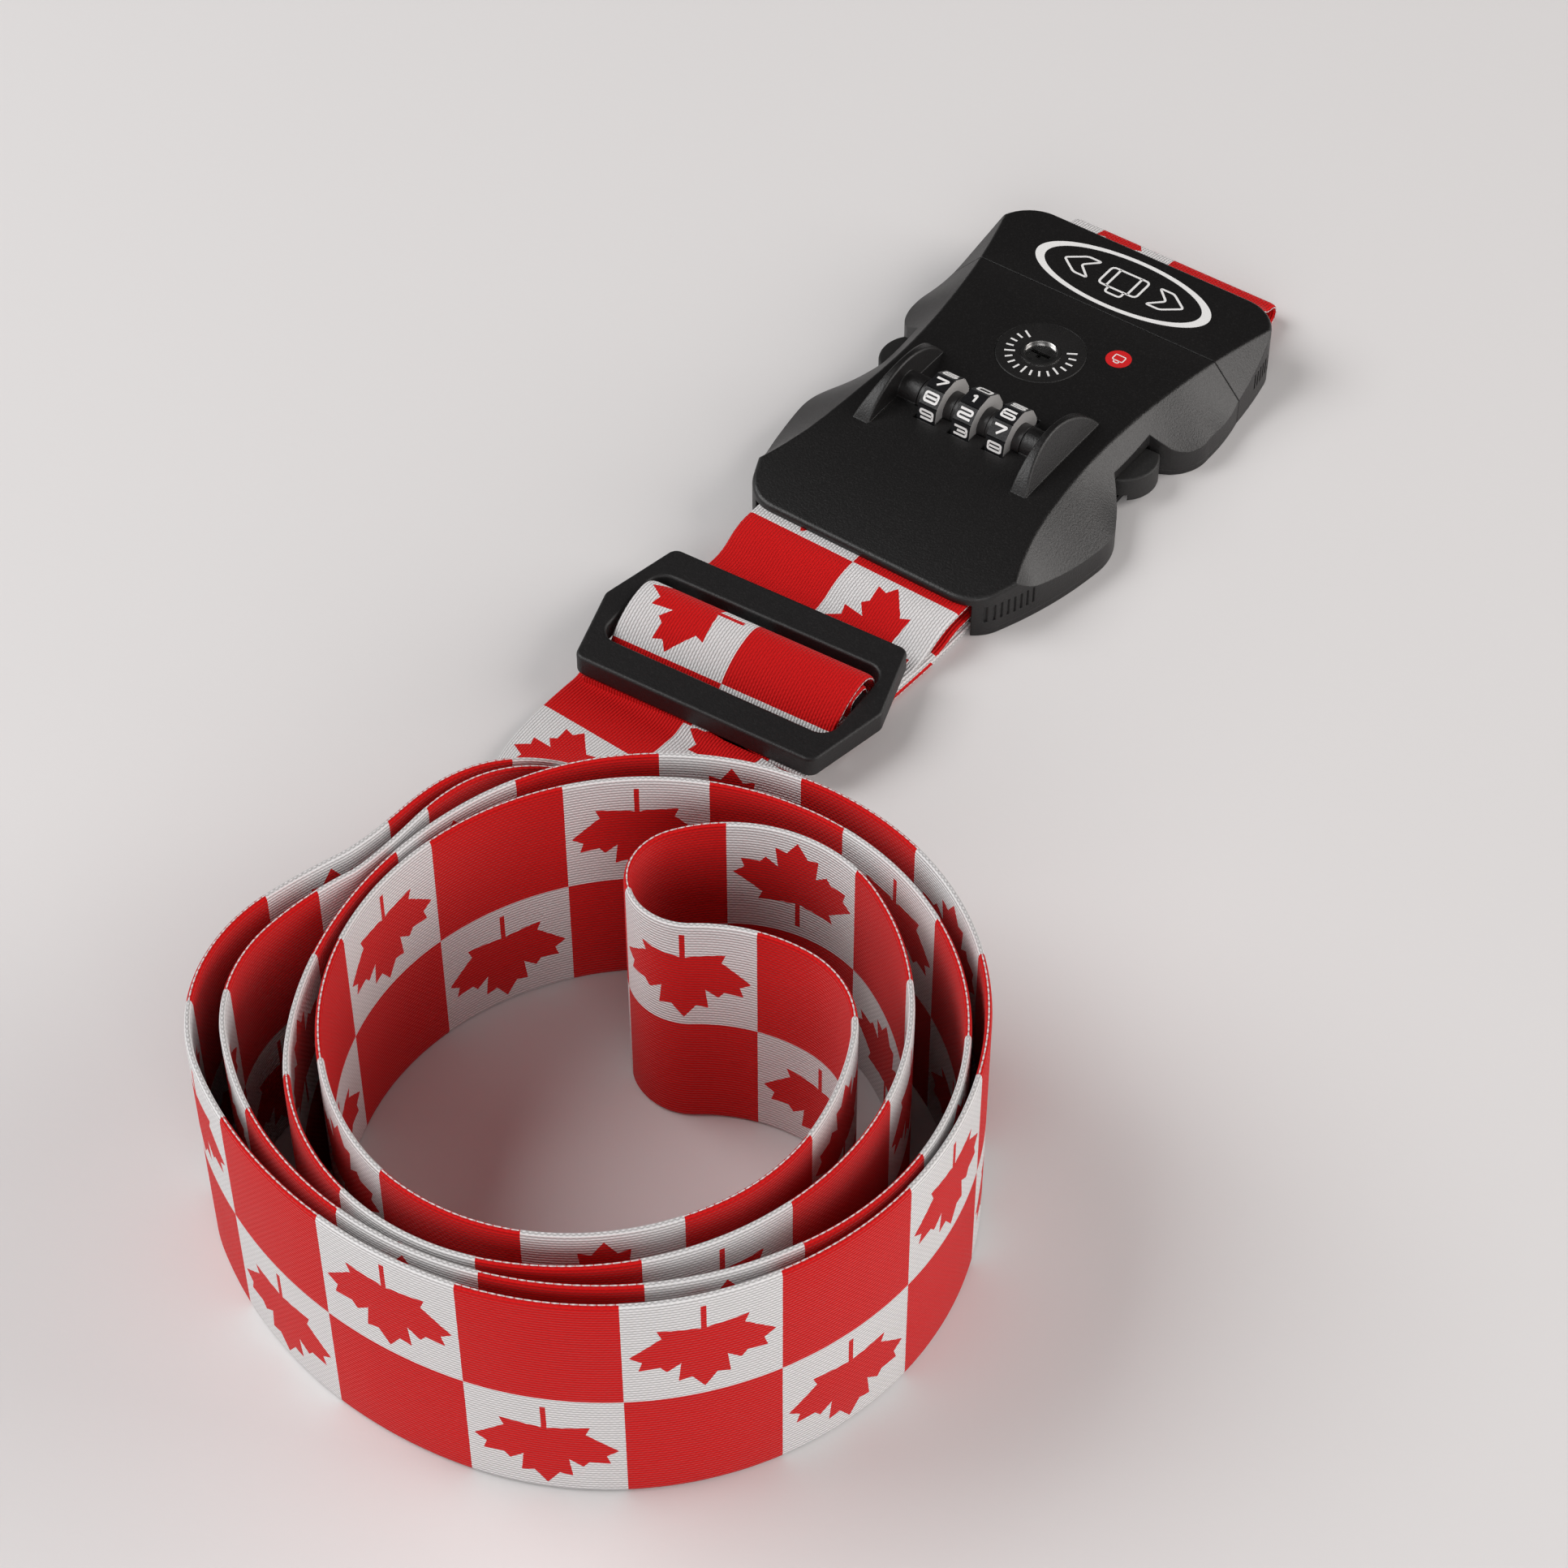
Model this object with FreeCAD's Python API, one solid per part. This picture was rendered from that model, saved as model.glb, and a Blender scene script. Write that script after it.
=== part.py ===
"""Luggage strap: a patterned webbing loop with an adjuster slider and a side-release buckle that holds a
three-dial combination lock with a key override. The strap lies coiled on its edge in front of the buckle.

Frame: millimetres, +Z up, floor at Z = 0. +Y runs along the buckle from its webbing mouth to its rear end,
+X is the buckle's right. The origin is on the floor under the middle of the closed buckle.
"""

import FreeCAD, Part
import math
import os

from FreeCAD import Vector as V

# ---- driving dimensions ----
WEB_WIDTH = 50.0
WEB_THICK = 1.2
LAYER_GAP = 0.1
LAYER = WEB_THICK + LAYER_GAP

BODY_FRONT = -53.0
BODY_REAR = 53.4
SEAM_Y = 32.0
SEAM_GAP = 0.2
TOP_Z = 13.2
LIP_Z = 9.4
TOP_FLAT_FROM = -10.0
PARTING_Z = 1.3
CHANNEL_TOP = 1.5
FLOOR_Z = 2.7
WALL = 2.2
MOUTH_HALF = 25.8
MOUTH_TOP = 7.9
MOUTH_DEPTH = 12.5
CAVITY_HALF = 27.9
CAVITY_TOP = 11.0
ARM_WAY_TOP = 7.4

BAR_RADIUS = 1.2
BAR_Z = 5.3
FRONT_BAR_Y = BODY_FRONT + 7.0
REAR_BAR_Y = BODY_REAR - 5.2
FIT = 0.04

# Half-width of a block that is wider than the whole buckle, for cuts that run right across it.
CLEAR_OF_BODY = 50.0

LOCK_X = -0.8
DIAL_Y = -11.0
DIAL_Z = TOP_Z
DIAL_RADIUS = 6.3
DIAL_WIDTH = 4.4
DIAL_PITCH = 8.2
DIAL_SIDES = 10
SLEEVE_RADIUS = 3.5
AXLE_RADIUS = 1.3
FIN_INNER = 17.0
FIN_THICK = 3.8
FIN_FRONT = -25.0
FIN_BACK = 3.0
FIN_HEIGHT = 6.7
FIN_DRAFT = 2.3

KEY_X = -1.5
KEY_Y = 13.5
KEY_RADIUS = 4.1
KEY_PLATE_RADIUS = 9.4
KEY_PLATE_THICK = 1.3
BOLT_TRAVEL = 3.0
CRANK_PIN_RADIUS = 0.9

NOTCH_X = 28.3
NOTCH_FRONT = -4.8
NOTCH_BACK = 8.2
BUTTON_TOP = 7.0
BUTTON_BOTTOM = 1.5
BUTTON_SKIRT_X = 30.4
ARM_PIVOT_X = 23.5
ARM_PIVOT_Y = 38.0
ARM_PIVOT_RADIUS = 2.2

SLIDER_CENTRE = (-2.3, -88.5)
SLIDER_YAW = 4.0
SLIDER_BOTTOM = 3.9
SLIDER_THICK = 4.6
SLIDER_HALF_LENGTH = 17.6
SLIDER_END_HALF_WIDTH = 26.6
SLIDER_MID_HALF_WIDTH = 31.2
SLIDER_WINDOW = (51.6, 20.6)
SLIDER_BAR_Y = 2.0
SLIDER_BAR_HALF = 2.2
SLIDER_BAR_Z = (4.9, 7.8)
HUMP_CREST_Z = 10.3

STRAP_PIVOT_Y = -62.0
STRAP_SKEW = -3.6
TWIST_START_Y = -110.0
TWIST_REACH = (76.0, 46.0)

# The coil, walked from its outer start: (length in mm, turn in degrees), a left turn being positive.
COIL_START = (-3.0, -200.0)
COIL_HEADING = -109.0
COIL_STEPS = [
    (14, 7), (40, 71), (60, 44), (60, 56), (60, 57), (60, 63), (60, 65), (60, 51), (60, 79),
    (60, 63), (60, 66), (40, 84), (30, 160), (20, -36), (20, -63), (20, -21), (20, -30), (30, -37),
    (40, -57), (60, -68), (60, -66), (60, -65), (60, -67), (60, -54), (60, -55), (24, -50), (17.655, -17),
]

# Right half of the buckle's outline seen from above, front to rear: ("line", end) or ("arc", through, end).
OUTLINE_START = (0.0, BODY_FRONT)
OUTLINE = [
    ("line", (21.5, BODY_FRONT)),
    ("arc", (26.1, -51.65), (29.3, -48.04)),
    ("arc", (33.74, -35.5), (36.2, -22.5)),
    ("arc", (36.1, -17.8), (34.4, -13.2)),
    ("arc", (31.6, -8.8), (NOTCH_X, NOTCH_FRONT)),
    ("line", (NOTCH_X, NOTCH_BACK)),
    ("line", (32.4, 10.4)),
    ("arc", (35.3, 13.8), (36.3, 19.0)),
    ("arc", (36.1, 26.0), (35.2, SEAM_Y)),
    ("arc", (34.6, 38.5), (33.6, 45.0)),
    ("arc", (30.4, 51.0), (24.0, BODY_REAR)),
    ("line", (0.0, BODY_REAR)),
]

# Side bevel: (Y, fall of the bevel per mm outwards). The top face's edge is a shallow arc seen from above.
BEVEL_SLOPES = [(-58, 1.3), (-44, 1.3), (-40, 1.15), (-36, 0.88), (-31, 0.75), (-24, 0.67), (-16, 0.71),
                (-10, 0.9), (0, 1.1), (9, 0.95), (17, 0.77), (24, 0.88), (32, 1.1), (42, 1.15), (58, 1.15)]
BEVEL_WAIST_Y = -5.0
BEVEL_WAIST_HALF = 24.8
BEVEL_ARC_RADIUS = 175.0
BEVEL_FLARE = (-28.0, 75.0)
RIM_ROUND = 0.9
WALL_HEAD_ROUND = 0.45


# ---- small shape helpers ----
def box(x0, x1, y0, y1, z0, z1):
    return Part.makeBox(x1 - x0, y1 - y0, z1 - z0, V(x0, y0, z0))


def rod_x(radius, x0, x1, y, z):
    return Part.makeCylinder(radius, x1 - x0, V(x0, y, z), V(1, 0, 0))


def rod_z(radius, x, y, z0, z1):
    return Part.makeCylinder(radius, z1 - z0, V(x, y, z0), V(0, 0, 1))


def mirrored(shape):
    return shape.mirror(V(0, 0, 0), V(1, 0, 0))


def rounded(shape, radius, wanted):
    """The shape with the edges that wanted() picks rounded, or unchanged where the kernel can't do it."""
    edges = [e for e in shape.Edges if wanted(e)]
    for tried in (radius, radius * 0.6):
        try:
            result = shape.makeFillet(tried, edges)
        except Part.OCCError:
            continue
        if result.isValid() and len(result.Solids) == len(shape.Solids):
            return result
    return shape


def walk(start, heading, steps):
    """The stations of a path made of straights and round bends: (x, y, heading in radians)."""
    x, y = start
    angle = math.radians(heading)
    stations = [(x, y, angle)]
    for length, turn in steps:
        bend = math.radians(turn)
        chord = length if turn == 0 else 2 * length / bend * math.sin(bend / 2)
        x += chord * math.cos(angle + bend / 2)
        y += chord * math.sin(angle + bend / 2)
        angle += bend
        stations.append((x, y, angle))
    return stations


def beside(station, distance):
    x, y, angle = station
    return V(x - distance * math.sin(angle), y + distance * math.cos(angle), 0)


def ribbon_side(start, heading, steps, distance):
    """The edges of a path's parallel curve, distance to its left."""
    edges = []
    station = (start[0], start[1], math.radians(heading))
    for length, turn in steps:
        halfway, after = walk(station[:2], math.degrees(station[2]), [(length / 2, turn / 2)] * 2)[1:]
        ends = beside(station, distance), beside(after, distance)
        if turn == 0:
            edges.append(Part.makeLine(*ends))
        else:
            edges.append(Part.Arc(ends[0], beside(halfway, distance), ends[1]).toShape())
        station = after
    return edges


def ribbon(start, heading, steps, depth):
    """A strip of webbing on its edge: the path's thickened outline, raised by depth."""
    left = ribbon_side(start, heading, steps, WEB_THICK / 2)
    right = ribbon_side(start, heading, steps, -WEB_THICK / 2)
    first = Part.makeLine(right[0].valueAt(right[0].FirstParameter), left[0].valueAt(left[0].FirstParameter))
    last = Part.makeLine(left[-1].valueAt(left[-1].LastParameter), right[-1].valueAt(right[-1].LastParameter))
    wire = Part.Wire(Part.__sortEdges__([first, *left, last, *right]))
    return Part.Face(wire).extrude(V(0, 0, depth))


def flat_ribbon(start, heading, steps):
    """A strip across X whose path is drawn in the Y-Z plane: start is (y, z), heading 0 runs along +Y."""
    shape = ribbon(start, heading, steps, WEB_WIDTH)
    shape.Placement = FreeCAD.Placement(FreeCAD.Matrix(0, 0, 1, -WEB_WIDTH / 2, 1, 0, 0, 0, 0, 1, 0, 0))
    return shape


def ramp(rise, radius):
    """Two equal bends that lift a path by rise: the steps, and the distance run."""
    angle = math.acos(1 - abs(rise) / (2 * radius))
    turn = math.copysign(math.degrees(angle), rise)
    length = radius * angle
    return [(length, turn), (length, -turn)], 2 * radius * math.sin(angle)


def skewed(shape):
    """The flat runs in front of the buckle leave its mouth at a small angle."""
    copy = shape.copy()
    copy.rotate(V(0, STRAP_PIVOT_Y, 0), V(0, 0, 1), STRAP_SKEW)
    return copy


def on_slider(shape):
    """From the slider's own frame (centre at the origin) to its place on the strap."""
    copy = shape.copy()
    copy.rotate(V(0, 0, 0), V(0, 0, 1), SLIDER_YAW)
    copy.translate(V(SLIDER_CENTRE[0], SLIDER_CENTRE[1], 0))
    return copy


# ---- buckle envelope ----
def outline_wire():
    edges = []
    here = V(*OUTLINE_START, 0)
    for kind, *points in OUTLINE:
        end = V(*points[-1], 0)
        if kind == "line":
            edges.append(Part.makeLine(here, end))
        else:
            edges.append(Part.Arc(here, V(*points[0], 0), end).toShape())
        here = end
    right = Part.Wire(edges)
    return Part.Wire(Part.__sortEdges__(edges + mirrored(right).Edges))


def top_height(y):
    """Height of the top face: it arches down to the lip in front of TOP_FLAT_FROM."""
    if y >= TOP_FLAT_FROM:
        return TOP_Z
    run, drop = TOP_FLAT_FROM - BODY_FRONT, TOP_Z - LIP_Z
    radius = (run * run + drop * drop) / (2 * drop)
    return TOP_Z - radius + math.sqrt(radius**2 - (TOP_FLAT_FROM - y) ** 2)


def top_edge_half(y):
    flare_from, flare_radius = BEVEL_FLARE
    flare = max(0.0, flare_from - y) ** 2 / (2 * flare_radius)
    return BEVEL_WAIST_HALF + (y - BEVEL_WAIST_Y) ** 2 / (2 * BEVEL_ARC_RADIUS) + flare


def side_bevel():
    """What the right-hand bevel takes away: a skin through triangular sections along the buckle."""
    inside, outside, above = 3.0, 15.0, 9.0
    sections = []
    for y, slope in BEVEL_SLOPES:
        x, z = top_edge_half(y), top_height(y)
        corners = [V(x - inside, y, z + inside * slope), V(x + outside, y, z - outside * slope),
                   V(x + outside, y, z + above)]
        sections.append(Part.makePolygon(corners + corners[:1]))
    return Part.makeLoft(sections, True, False)


def edge_middle(edge):
    return edge.valueAt((edge.FirstParameter + edge.LastParameter) / 2)


def softened(body):
    """Rounds the rim of the top face, then the line where each bevel meets the upright walls."""
    def on_top(point):
        return abs(point.z - top_height(point.y)) < 0.02

    def rim(edge):
        crease = edge.BoundBox.YLength < 0.01 and abs(edge_middle(edge).y - TOP_FLAT_FROM) < 0.01
        return not crease and on_top(edge_middle(edge)) and all(on_top(v.Point) for v in edge.Vertexes)

    def wall_head(edge):
        middle, extent = edge_middle(edge), edge.BoundBox
        between = 2.0 < middle.z < TOP_Z - 0.3 and not on_top(middle)
        return between and extent.ZLength < 8 and extent.YLength > 1

    body = body.makeFillet(RIM_ROUND, [e for e in body.Edges if rim(e)])
    return rounded(body, WALL_HEAD_ROUND, wall_head)


def envelope():
    """The closed buckle's outer shape, with the strap channel under it and both side bevels cut."""
    body = Part.Face(outline_wire()).extrude(V(0, 0, TOP_Z))
    front, flat = V(0, BODY_FRONT - 1, top_height(BODY_FRONT - 1)), V(0, TOP_FLAT_FROM, TOP_Z)
    middle_y = (BODY_FRONT + TOP_FLAT_FROM) / 2
    arch = Part.Arc(front, V(0, middle_y, top_height(middle_y)), flat).toShape()
    over = V(0, TOP_FLAT_FROM, TOP_Z + 5)
    before = V(0, BODY_FRONT - 1, TOP_Z + 5)
    straights = [Part.makeLine(flat, over), Part.makeLine(over, before), Part.makeLine(before, front)]
    cap = Part.Face(Part.Wire([arch, *straights])).extrude(V(2 * CLEAR_OF_BODY, 0, 0))
    cap.translate(V(-CLEAR_OF_BODY, 0, 0))
    body = body.cut(cap)
    bevel = side_bevel()
    body = softened(body.cut(bevel).cut(mirrored(bevel)))
    return body.cut(box(-MOUTH_HALF, MOUTH_HALF, BODY_FRONT - 1, BODY_REAR + 1, -1, CHANNEL_TOP))


def inner_plan(inset):
    """The outline drawn in by a wall's thickness, as a face at Z = 0."""
    return Part.Face(outline_wire()).makeOffset2D(-inset)


def cover_core(clearance):
    """The raised middle of the bottom cover, which plugs into the shell above."""
    core = inner_plan(WALL - clearance).extrude(V(0, 0, FLOOR_Z + clearance - PARTING_Z))
    core.translate(V(0, 0, PARTING_Z))
    return core


def behind_seam():
    return box(-CLEAR_OF_BODY, CLEAR_OF_BODY, SEAM_Y + SEAM_GAP / 2, BODY_REAR + 5, -5, 30)


def before_seam():
    return box(-CLEAR_OF_BODY, CLEAR_OF_BODY, BODY_FRONT - 5, SEAM_Y - SEAM_GAP / 2, -5, 30)


def grip_grooves(first_y, count, lean):
    """Short upright grooves on the right side wall, near a corner of the outline."""
    width, spacing, depth, low, high = 0.55, 1.35, 0.35, 3.4, 7.4
    wall = Part.Face(outline_wire())
    ring = wall.cut(wall.makeOffset2D(-depth)).extrude(V(0, 0, high - low))
    ring.translate(V(0, 0, low))
    cuts = []
    for n in range(count):
        y = first_y + n * spacing
        slot = box(24, 40, y - width / 2, y + width / 2, low, high)
        slot.rotate(V(32, y, 0), V(0, 0, 1), lean)
        cuts.append(slot.common(ring))
    return Part.makeCompound(cuts)


# ---- combination lock ----
def fin_blank(inner, outer):
    """A guard fin: a disc segment standing on the top face beside the dials."""
    chord = FIN_BACK - FIN_FRONT
    middle = (FIN_BACK + FIN_FRONT) / 2
    foot = TOP_Z - 2.5
    front, back = V(inner, FIN_FRONT, foot + 1.5), V(inner, FIN_BACK, foot + 1.5)
    peak = V(inner, middle + chord * 0.04, TOP_Z + FIN_HEIGHT)
    arc = Part.Arc(front, peak, back).toShape()
    low_front, low_back = V(inner, FIN_FRONT, foot), V(inner, FIN_BACK, foot)
    wire = Part.Wire([arc, Part.makeLine(back, low_back), Part.makeLine(low_back, low_front),
                      Part.makeLine(low_front, front)])
    return Part.Face(wire).extrude(V(outer - inner, 0, 0))


def guard_fins():
    fins = []
    for side in (-1, 1):
        inner, outer = (LOCK_X + side * reach for reach in (FIN_INNER, FIN_INNER + FIN_THICK))
        fin = fin_blank(min(inner, outer), max(inner, outer))
        above = TOP_Z + 2 * FIN_HEIGHT
        away = outer + side * FIN_THICK
        ahead = -CLEAR_OF_BODY
        slant = [V(outer, ahead, TOP_Z), V(outer - 2 * side * FIN_DRAFT, ahead, above), V(away, ahead, above),
                 V(away, ahead, TOP_Z), V(outer, ahead, TOP_Z)]
        fin = fin.cut(Part.Face(Part.makePolygon(slant)).extrude(V(0, 2 * CLEAR_OF_BODY, 0)))
        fins.append(rounded(fin, 0.5, lambda e: e.BoundBox.ZMax > TOP_Z + 3 and e.Length > 15))
    return fins


def dial_pockets():
    """Room for the dials and their sleeves in the top of the lock body."""
    side_room, turn_room = 0.4, 0.6
    room = []
    for n in (-1, 0, 1):
        x = LOCK_X + n * DIAL_PITCH
        half = DIAL_WIDTH / 2 + side_room
        room.append(rod_x(DIAL_RADIUS + turn_room, x - half, x + half, DIAL_Y, DIAL_Z))
    reach = 1.5 * DIAL_PITCH + 0.1
    trough = rod_x(SLEEVE_RADIUS + 0.35, LOCK_X - reach, LOCK_X + reach, DIAL_Y, DIAL_Z)
    return Part.makeCompound(room + [trough])


def lock_top_shell():
    shell = envelope().common(before_seam())
    shell = shell.cut(box(-CLEAR_OF_BODY, CLEAR_OF_BODY, BODY_FRONT - 5, SEAM_Y + 5, -5, PARTING_Z))
    shell = shell.cut(cover_core(0.05))
    for fin in guard_fins():
        shell = shell.fuse(fin)
    for side in (-1, 1):
        inner = LOCK_X + side * (1.5 * DIAL_PITCH + 0.15)
        outer = LOCK_X + side * (FIN_INNER + 1)
        shell = shell.fuse(rod_x(SLEEVE_RADIUS, min(inner, outer), max(inner, outer), DIAL_Y, DIAL_Z))
    mouth = box(-MOUTH_HALF, MOUTH_HALF, BODY_FRONT - 1, BODY_FRONT + MOUTH_DEPTH, 0, MOUTH_TOP)
    arm_way = box(-CAVITY_HALF, CAVITY_HALF, -9, SEAM_Y + 1, PARTING_Z, ARM_WAY_TOP)
    window = box(-NOTCH_X - 1, NOTCH_X + 1, NOTCH_FRONT, NOTCH_BACK + 0.2, PARTING_Z, ARM_WAY_TOP)
    works = box(-23, 23, -20.5, SEAM_Y + 1, FLOOR_Z, CAVITY_TOP)
    hollow = box(-23, 23, -40, -22.5, FLOOR_Z, 8.5)
    for room in (mouth, arm_way, window, works, hollow):
        shell = shell.cut(room)
    dial_block = box(-22.5, 22.5, -20, -2.5, 7.4, CAVITY_TOP + 0.5)
    key_block = rod_z(KEY_PLATE_RADIUS + 1.5, KEY_X, KEY_Y, 8.4, CAVITY_TOP + 0.5)
    shell = shell.fuse(dial_block).fuse(key_block).cut(dial_pockets())
    shell = shell.cut(rod_x(AXLE_RADIUS + FIT, LOCK_X - 19.6, LOCK_X + 19.6, DIAL_Y, DIAL_Z))
    shell = shell.cut(rod_z(KEY_PLATE_RADIUS + FIT, KEY_X, KEY_Y, TOP_Z - KEY_PLATE_THICK, TOP_Z + 1))
    shell = shell.cut(rod_z(KEY_RADIUS + FIT, KEY_X, KEY_Y, 8, TOP_Z + 1))
    shell = shell.cut(rod_x(BAR_RADIUS + FIT, -28.5, 28.5, FRONT_BAR_Y, BAR_Z))
    for hole in screw_holes(LOCK_SCREWS):
        shell = shell.cut(hole)
    grooves = grip_grooves(-49.4, 8, 8)
    return shell.cut(grooves).cut(mirrored(grooves))


def lock_bottom_cover():
    below_parting = box(-CLEAR_OF_BODY, CLEAR_OF_BODY, BODY_FRONT - 5, BODY_REAR + 5, -1, PARTING_Z)
    cover = envelope().common(below_parting)
    cover = cover.fuse(cover_core(0.0).cut(box(-MOUTH_HALF, MOUTH_HALF, -60, 60, 0, CHANNEL_TOP)))
    cover = cover.common(before_seam())
    for side in (-1, 1):
        low, high = sorted((side * (MOUTH_HALF - 0.4), side * 40))
        cover = cover.cut(box(low, high, -9, SEAM_Y + 1, PARTING_Z, FLOOR_Z + 1))
    for hole in screw_holes(LOCK_SCREWS, heads=True):
        cover = cover.cut(hole)
    return cover


# ---- screws: (x, y, top of the shank) ----
LOCK_SCREWS = [(30.2, -33.0, 6.0), (-30.2, -33.0, 6.0), (31.6, 21.0, 6.0), (-31.6, 21.0, 6.0)]
MALE_SCREWS = [(29.6, 40.0, 7.0), (-29.6, 40.0, 7.0)]
SCREW_RADIUS = 1.0
SCREW_HEAD_RADIUS = 1.9
SCREW_HEAD_Z = (0.15, 0.95)


def screw_holes(places, heads=False):
    holes = []
    for x, y, top in places:
        holes.append(rod_z(SCREW_RADIUS + FIT, x, y, -1, top + 0.5))
        if heads:
            holes.append(rod_z(SCREW_HEAD_RADIUS + FIT, x, y, -1, SCREW_HEAD_Z[1] + FIT))
    return holes


def screws(places):
    """Small pan-head screws with a cross recess, put in from below."""
    solids = []
    for x, y, top in places:
        screw = rod_z(SCREW_RADIUS, x, y, SCREW_HEAD_Z[0], top)
        screw = screw.fuse(rod_z(SCREW_HEAD_RADIUS, x, y, *SCREW_HEAD_Z))
        for length, width in ((2.2, 0.5), (0.5, 2.2)):
            screw = screw.cut(box(x - length / 2, x + length / 2, y - width / 2, y + width / 2, 0, 0.6))
        solids.append(screw.removeSplitter())
    return Part.makeCompound(solids)


def strap_bar(y):
    return rod_x(BAR_RADIUS, -28.3, 28.3, y, BAR_Z)


def number_dial(n):
    """A ten-sided number wheel with a groove at each corner between two numbers."""
    x0 = LOCK_X + n * DIAL_PITCH - DIAL_WIDTH / 2
    corners = []
    for k in range(DIAL_SIDES + 1):
        angle = 2 * math.pi * (k + 0.25) / DIAL_SIDES
        corners.append(V(x0, DIAL_Y + DIAL_RADIUS * math.cos(angle), DIAL_Z + DIAL_RADIUS * math.sin(angle)))
    dial = Part.Face(Part.makePolygon(corners)).extrude(V(DIAL_WIDTH, 0, 0))
    groove_depth, groove_half = 0.35, 0.22
    for k in range(DIAL_SIDES):
        out = corners[k] - V(x0, DIAL_Y, DIAL_Z)
        out.normalize()
        across = V(0, -out.z, out.y)
        root = corners[k] - out * groove_depth
        lip = corners[k] + out * groove_depth
        wedge = [root, lip + across * groove_half * 2, lip - across * groove_half * 2, root]
        dial = dial.cut(Part.Face(Part.makePolygon(wedge)).extrude(V(DIAL_WIDTH, 0, 0)))
    return dial.cut(rod_x(SLEEVE_RADIUS + FIT / 2, x0 - 1, x0 + DIAL_WIDTH + 1, DIAL_Y, DIAL_Z))


def dial_sleeve(n):
    """The clutch sleeve that one dial turns, with its gate notch at the bottom."""
    half = DIAL_PITCH / 2 - 0.05
    x = LOCK_X + n * DIAL_PITCH
    sleeve = rod_x(SLEEVE_RADIUS, x - half, x + half, DIAL_Y, DIAL_Z)
    sleeve = sleeve.cut(rod_x(AXLE_RADIUS + FIT, x - half - 1, x + half + 1, DIAL_Y, DIAL_Z))
    return sleeve.cut(box(x - half - 1, x - half + 1.2, DIAL_Y - 0.6, DIAL_Y + 0.6, DIAL_Z - 5, DIAL_Z - 2.2))


def dial_axle():
    return rod_x(AXLE_RADIUS, LOCK_X - 19.5, LOCK_X + 19.5, DIAL_Y, DIAL_Z)


def detent_spring():
    """A sheet spring under the dials: a strip with one raised finger per dial."""
    thick = 0.3
    z = 5.75
    strip = box(LOCK_X - 13, LOCK_X + 13, -19.5, -16.5, z, z + thick)
    for n in (-1, 0, 1):
        x = LOCK_X + n * DIAL_PITCH
        low, high = V(x - 1.2, -16.6, z), V(x - 1.2, DIAL_Y + 1.5, z + 0.55)
        side = [low, high, high + V(0, 0, thick), low + V(0, 0, thick), low]
        strip = strip.fuse(Part.Face(Part.makePolygon(side)).extrude(V(2.4, 0, 0)))
    return strip


def detent_post():
    """Two posts of the lock shell that carry the detent spring's strip."""
    posts = [rod_z(1.2, LOCK_X + side * 10.5, -18.0, 6.05, 7.6) for side in (-1, 1)]
    return Part.makeCompound(posts)


# ---- key override and lock bolt ----
def keyhole_plate():
    """The round plate around the key cylinder, let into the top face."""
    plate = rod_z(KEY_PLATE_RADIUS, KEY_X, KEY_Y, TOP_Z - KEY_PLATE_THICK + 0.02, TOP_Z + 0.12)
    plate = rounded(plate, 0.15, lambda e: e.BoundBox.ZMin > TOP_Z)
    return plate.cut(rod_z(KEY_RADIUS + FIT, KEY_X, KEY_Y, 5, 20))


def key_cylinder():
    """The override's core, with its keyway, and the crank pin under it that moves the bolt."""
    core = rod_z(KEY_RADIUS, KEY_X, KEY_Y, 7.6, TOP_Z + 0.3)
    core = core.cut(rod_z(KEY_RADIUS - 0.6, KEY_X, KEY_Y, TOP_Z - 0.25, TOP_Z + 1))
    slot = box(KEY_X - 2.2, KEY_X + 2.2, KEY_Y - 0.45, KEY_Y + 0.45, 9.0, TOP_Z + 1)
    ward = box(KEY_X - 0.45, KEY_X + 0.45, KEY_Y - 1.4, KEY_Y + 0.45, 9.0, TOP_Z + 1)
    stem = rod_z(1.6, KEY_X, KEY_Y, 5.6, 7.7)
    crank = rod_z(BOLT_TRAVEL + 1.2, KEY_X, KEY_Y, 5.6, 6.2)
    pin = rod_z(CRANK_PIN_RADIUS, KEY_X + BOLT_TRAVEL, KEY_Y, 4.55, 5.7)
    return core.cut(slot).cut(ward).fuse(stem).fuse(crank).fuse(pin)


def lock_bolt():
    """The sliding plate between the release arms, moved by the crank pin in its cross slot."""
    plate = box(LOCK_X - 13.5, LOCK_X + 13.5, -2.0, 20.5, 4.6, 5.4)
    lag = 0.62
    play = CRANK_PIN_RADIUS + 0.05
    slot = box(KEY_X - 1.3, KEY_X + BOLT_TRAVEL + 1.3, KEY_Y - lag - play, KEY_Y + play, 4, 6)
    tab = box(LOCK_X + 8.0, LOCK_X + 11.6, 13.0, 13.8, 5.3, 8.2)
    return plate.cut(slot).fuse(tab)


def bolt_spring():
    """The helical spring that returns the bolt, between its tab and the shell's rib."""
    radius, wire, length, turns = 1.1, 0.16, 7.5, 8
    helix = Part.makeHelix(length / turns, length, radius)
    section = Part.Wire(Part.makeCircle(wire, V(radius, 0, 0), V(0, 1, 0)))
    coil = Part.Wire(helix.Edges).makePipeShell([section], True, True)
    coil.rotate(V(0, 0, 0), V(1, 0, 0), -90)
    coil.translate(V(LOCK_X + 9.8, 5.25, 6.9))
    return coil


def bolt_spring_rib():
    return box(LOCK_X + 8.0, LOCK_X + 11.6, 4.0, 5.0, 5.6, CAVITY_TOP + 0.2)


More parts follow.
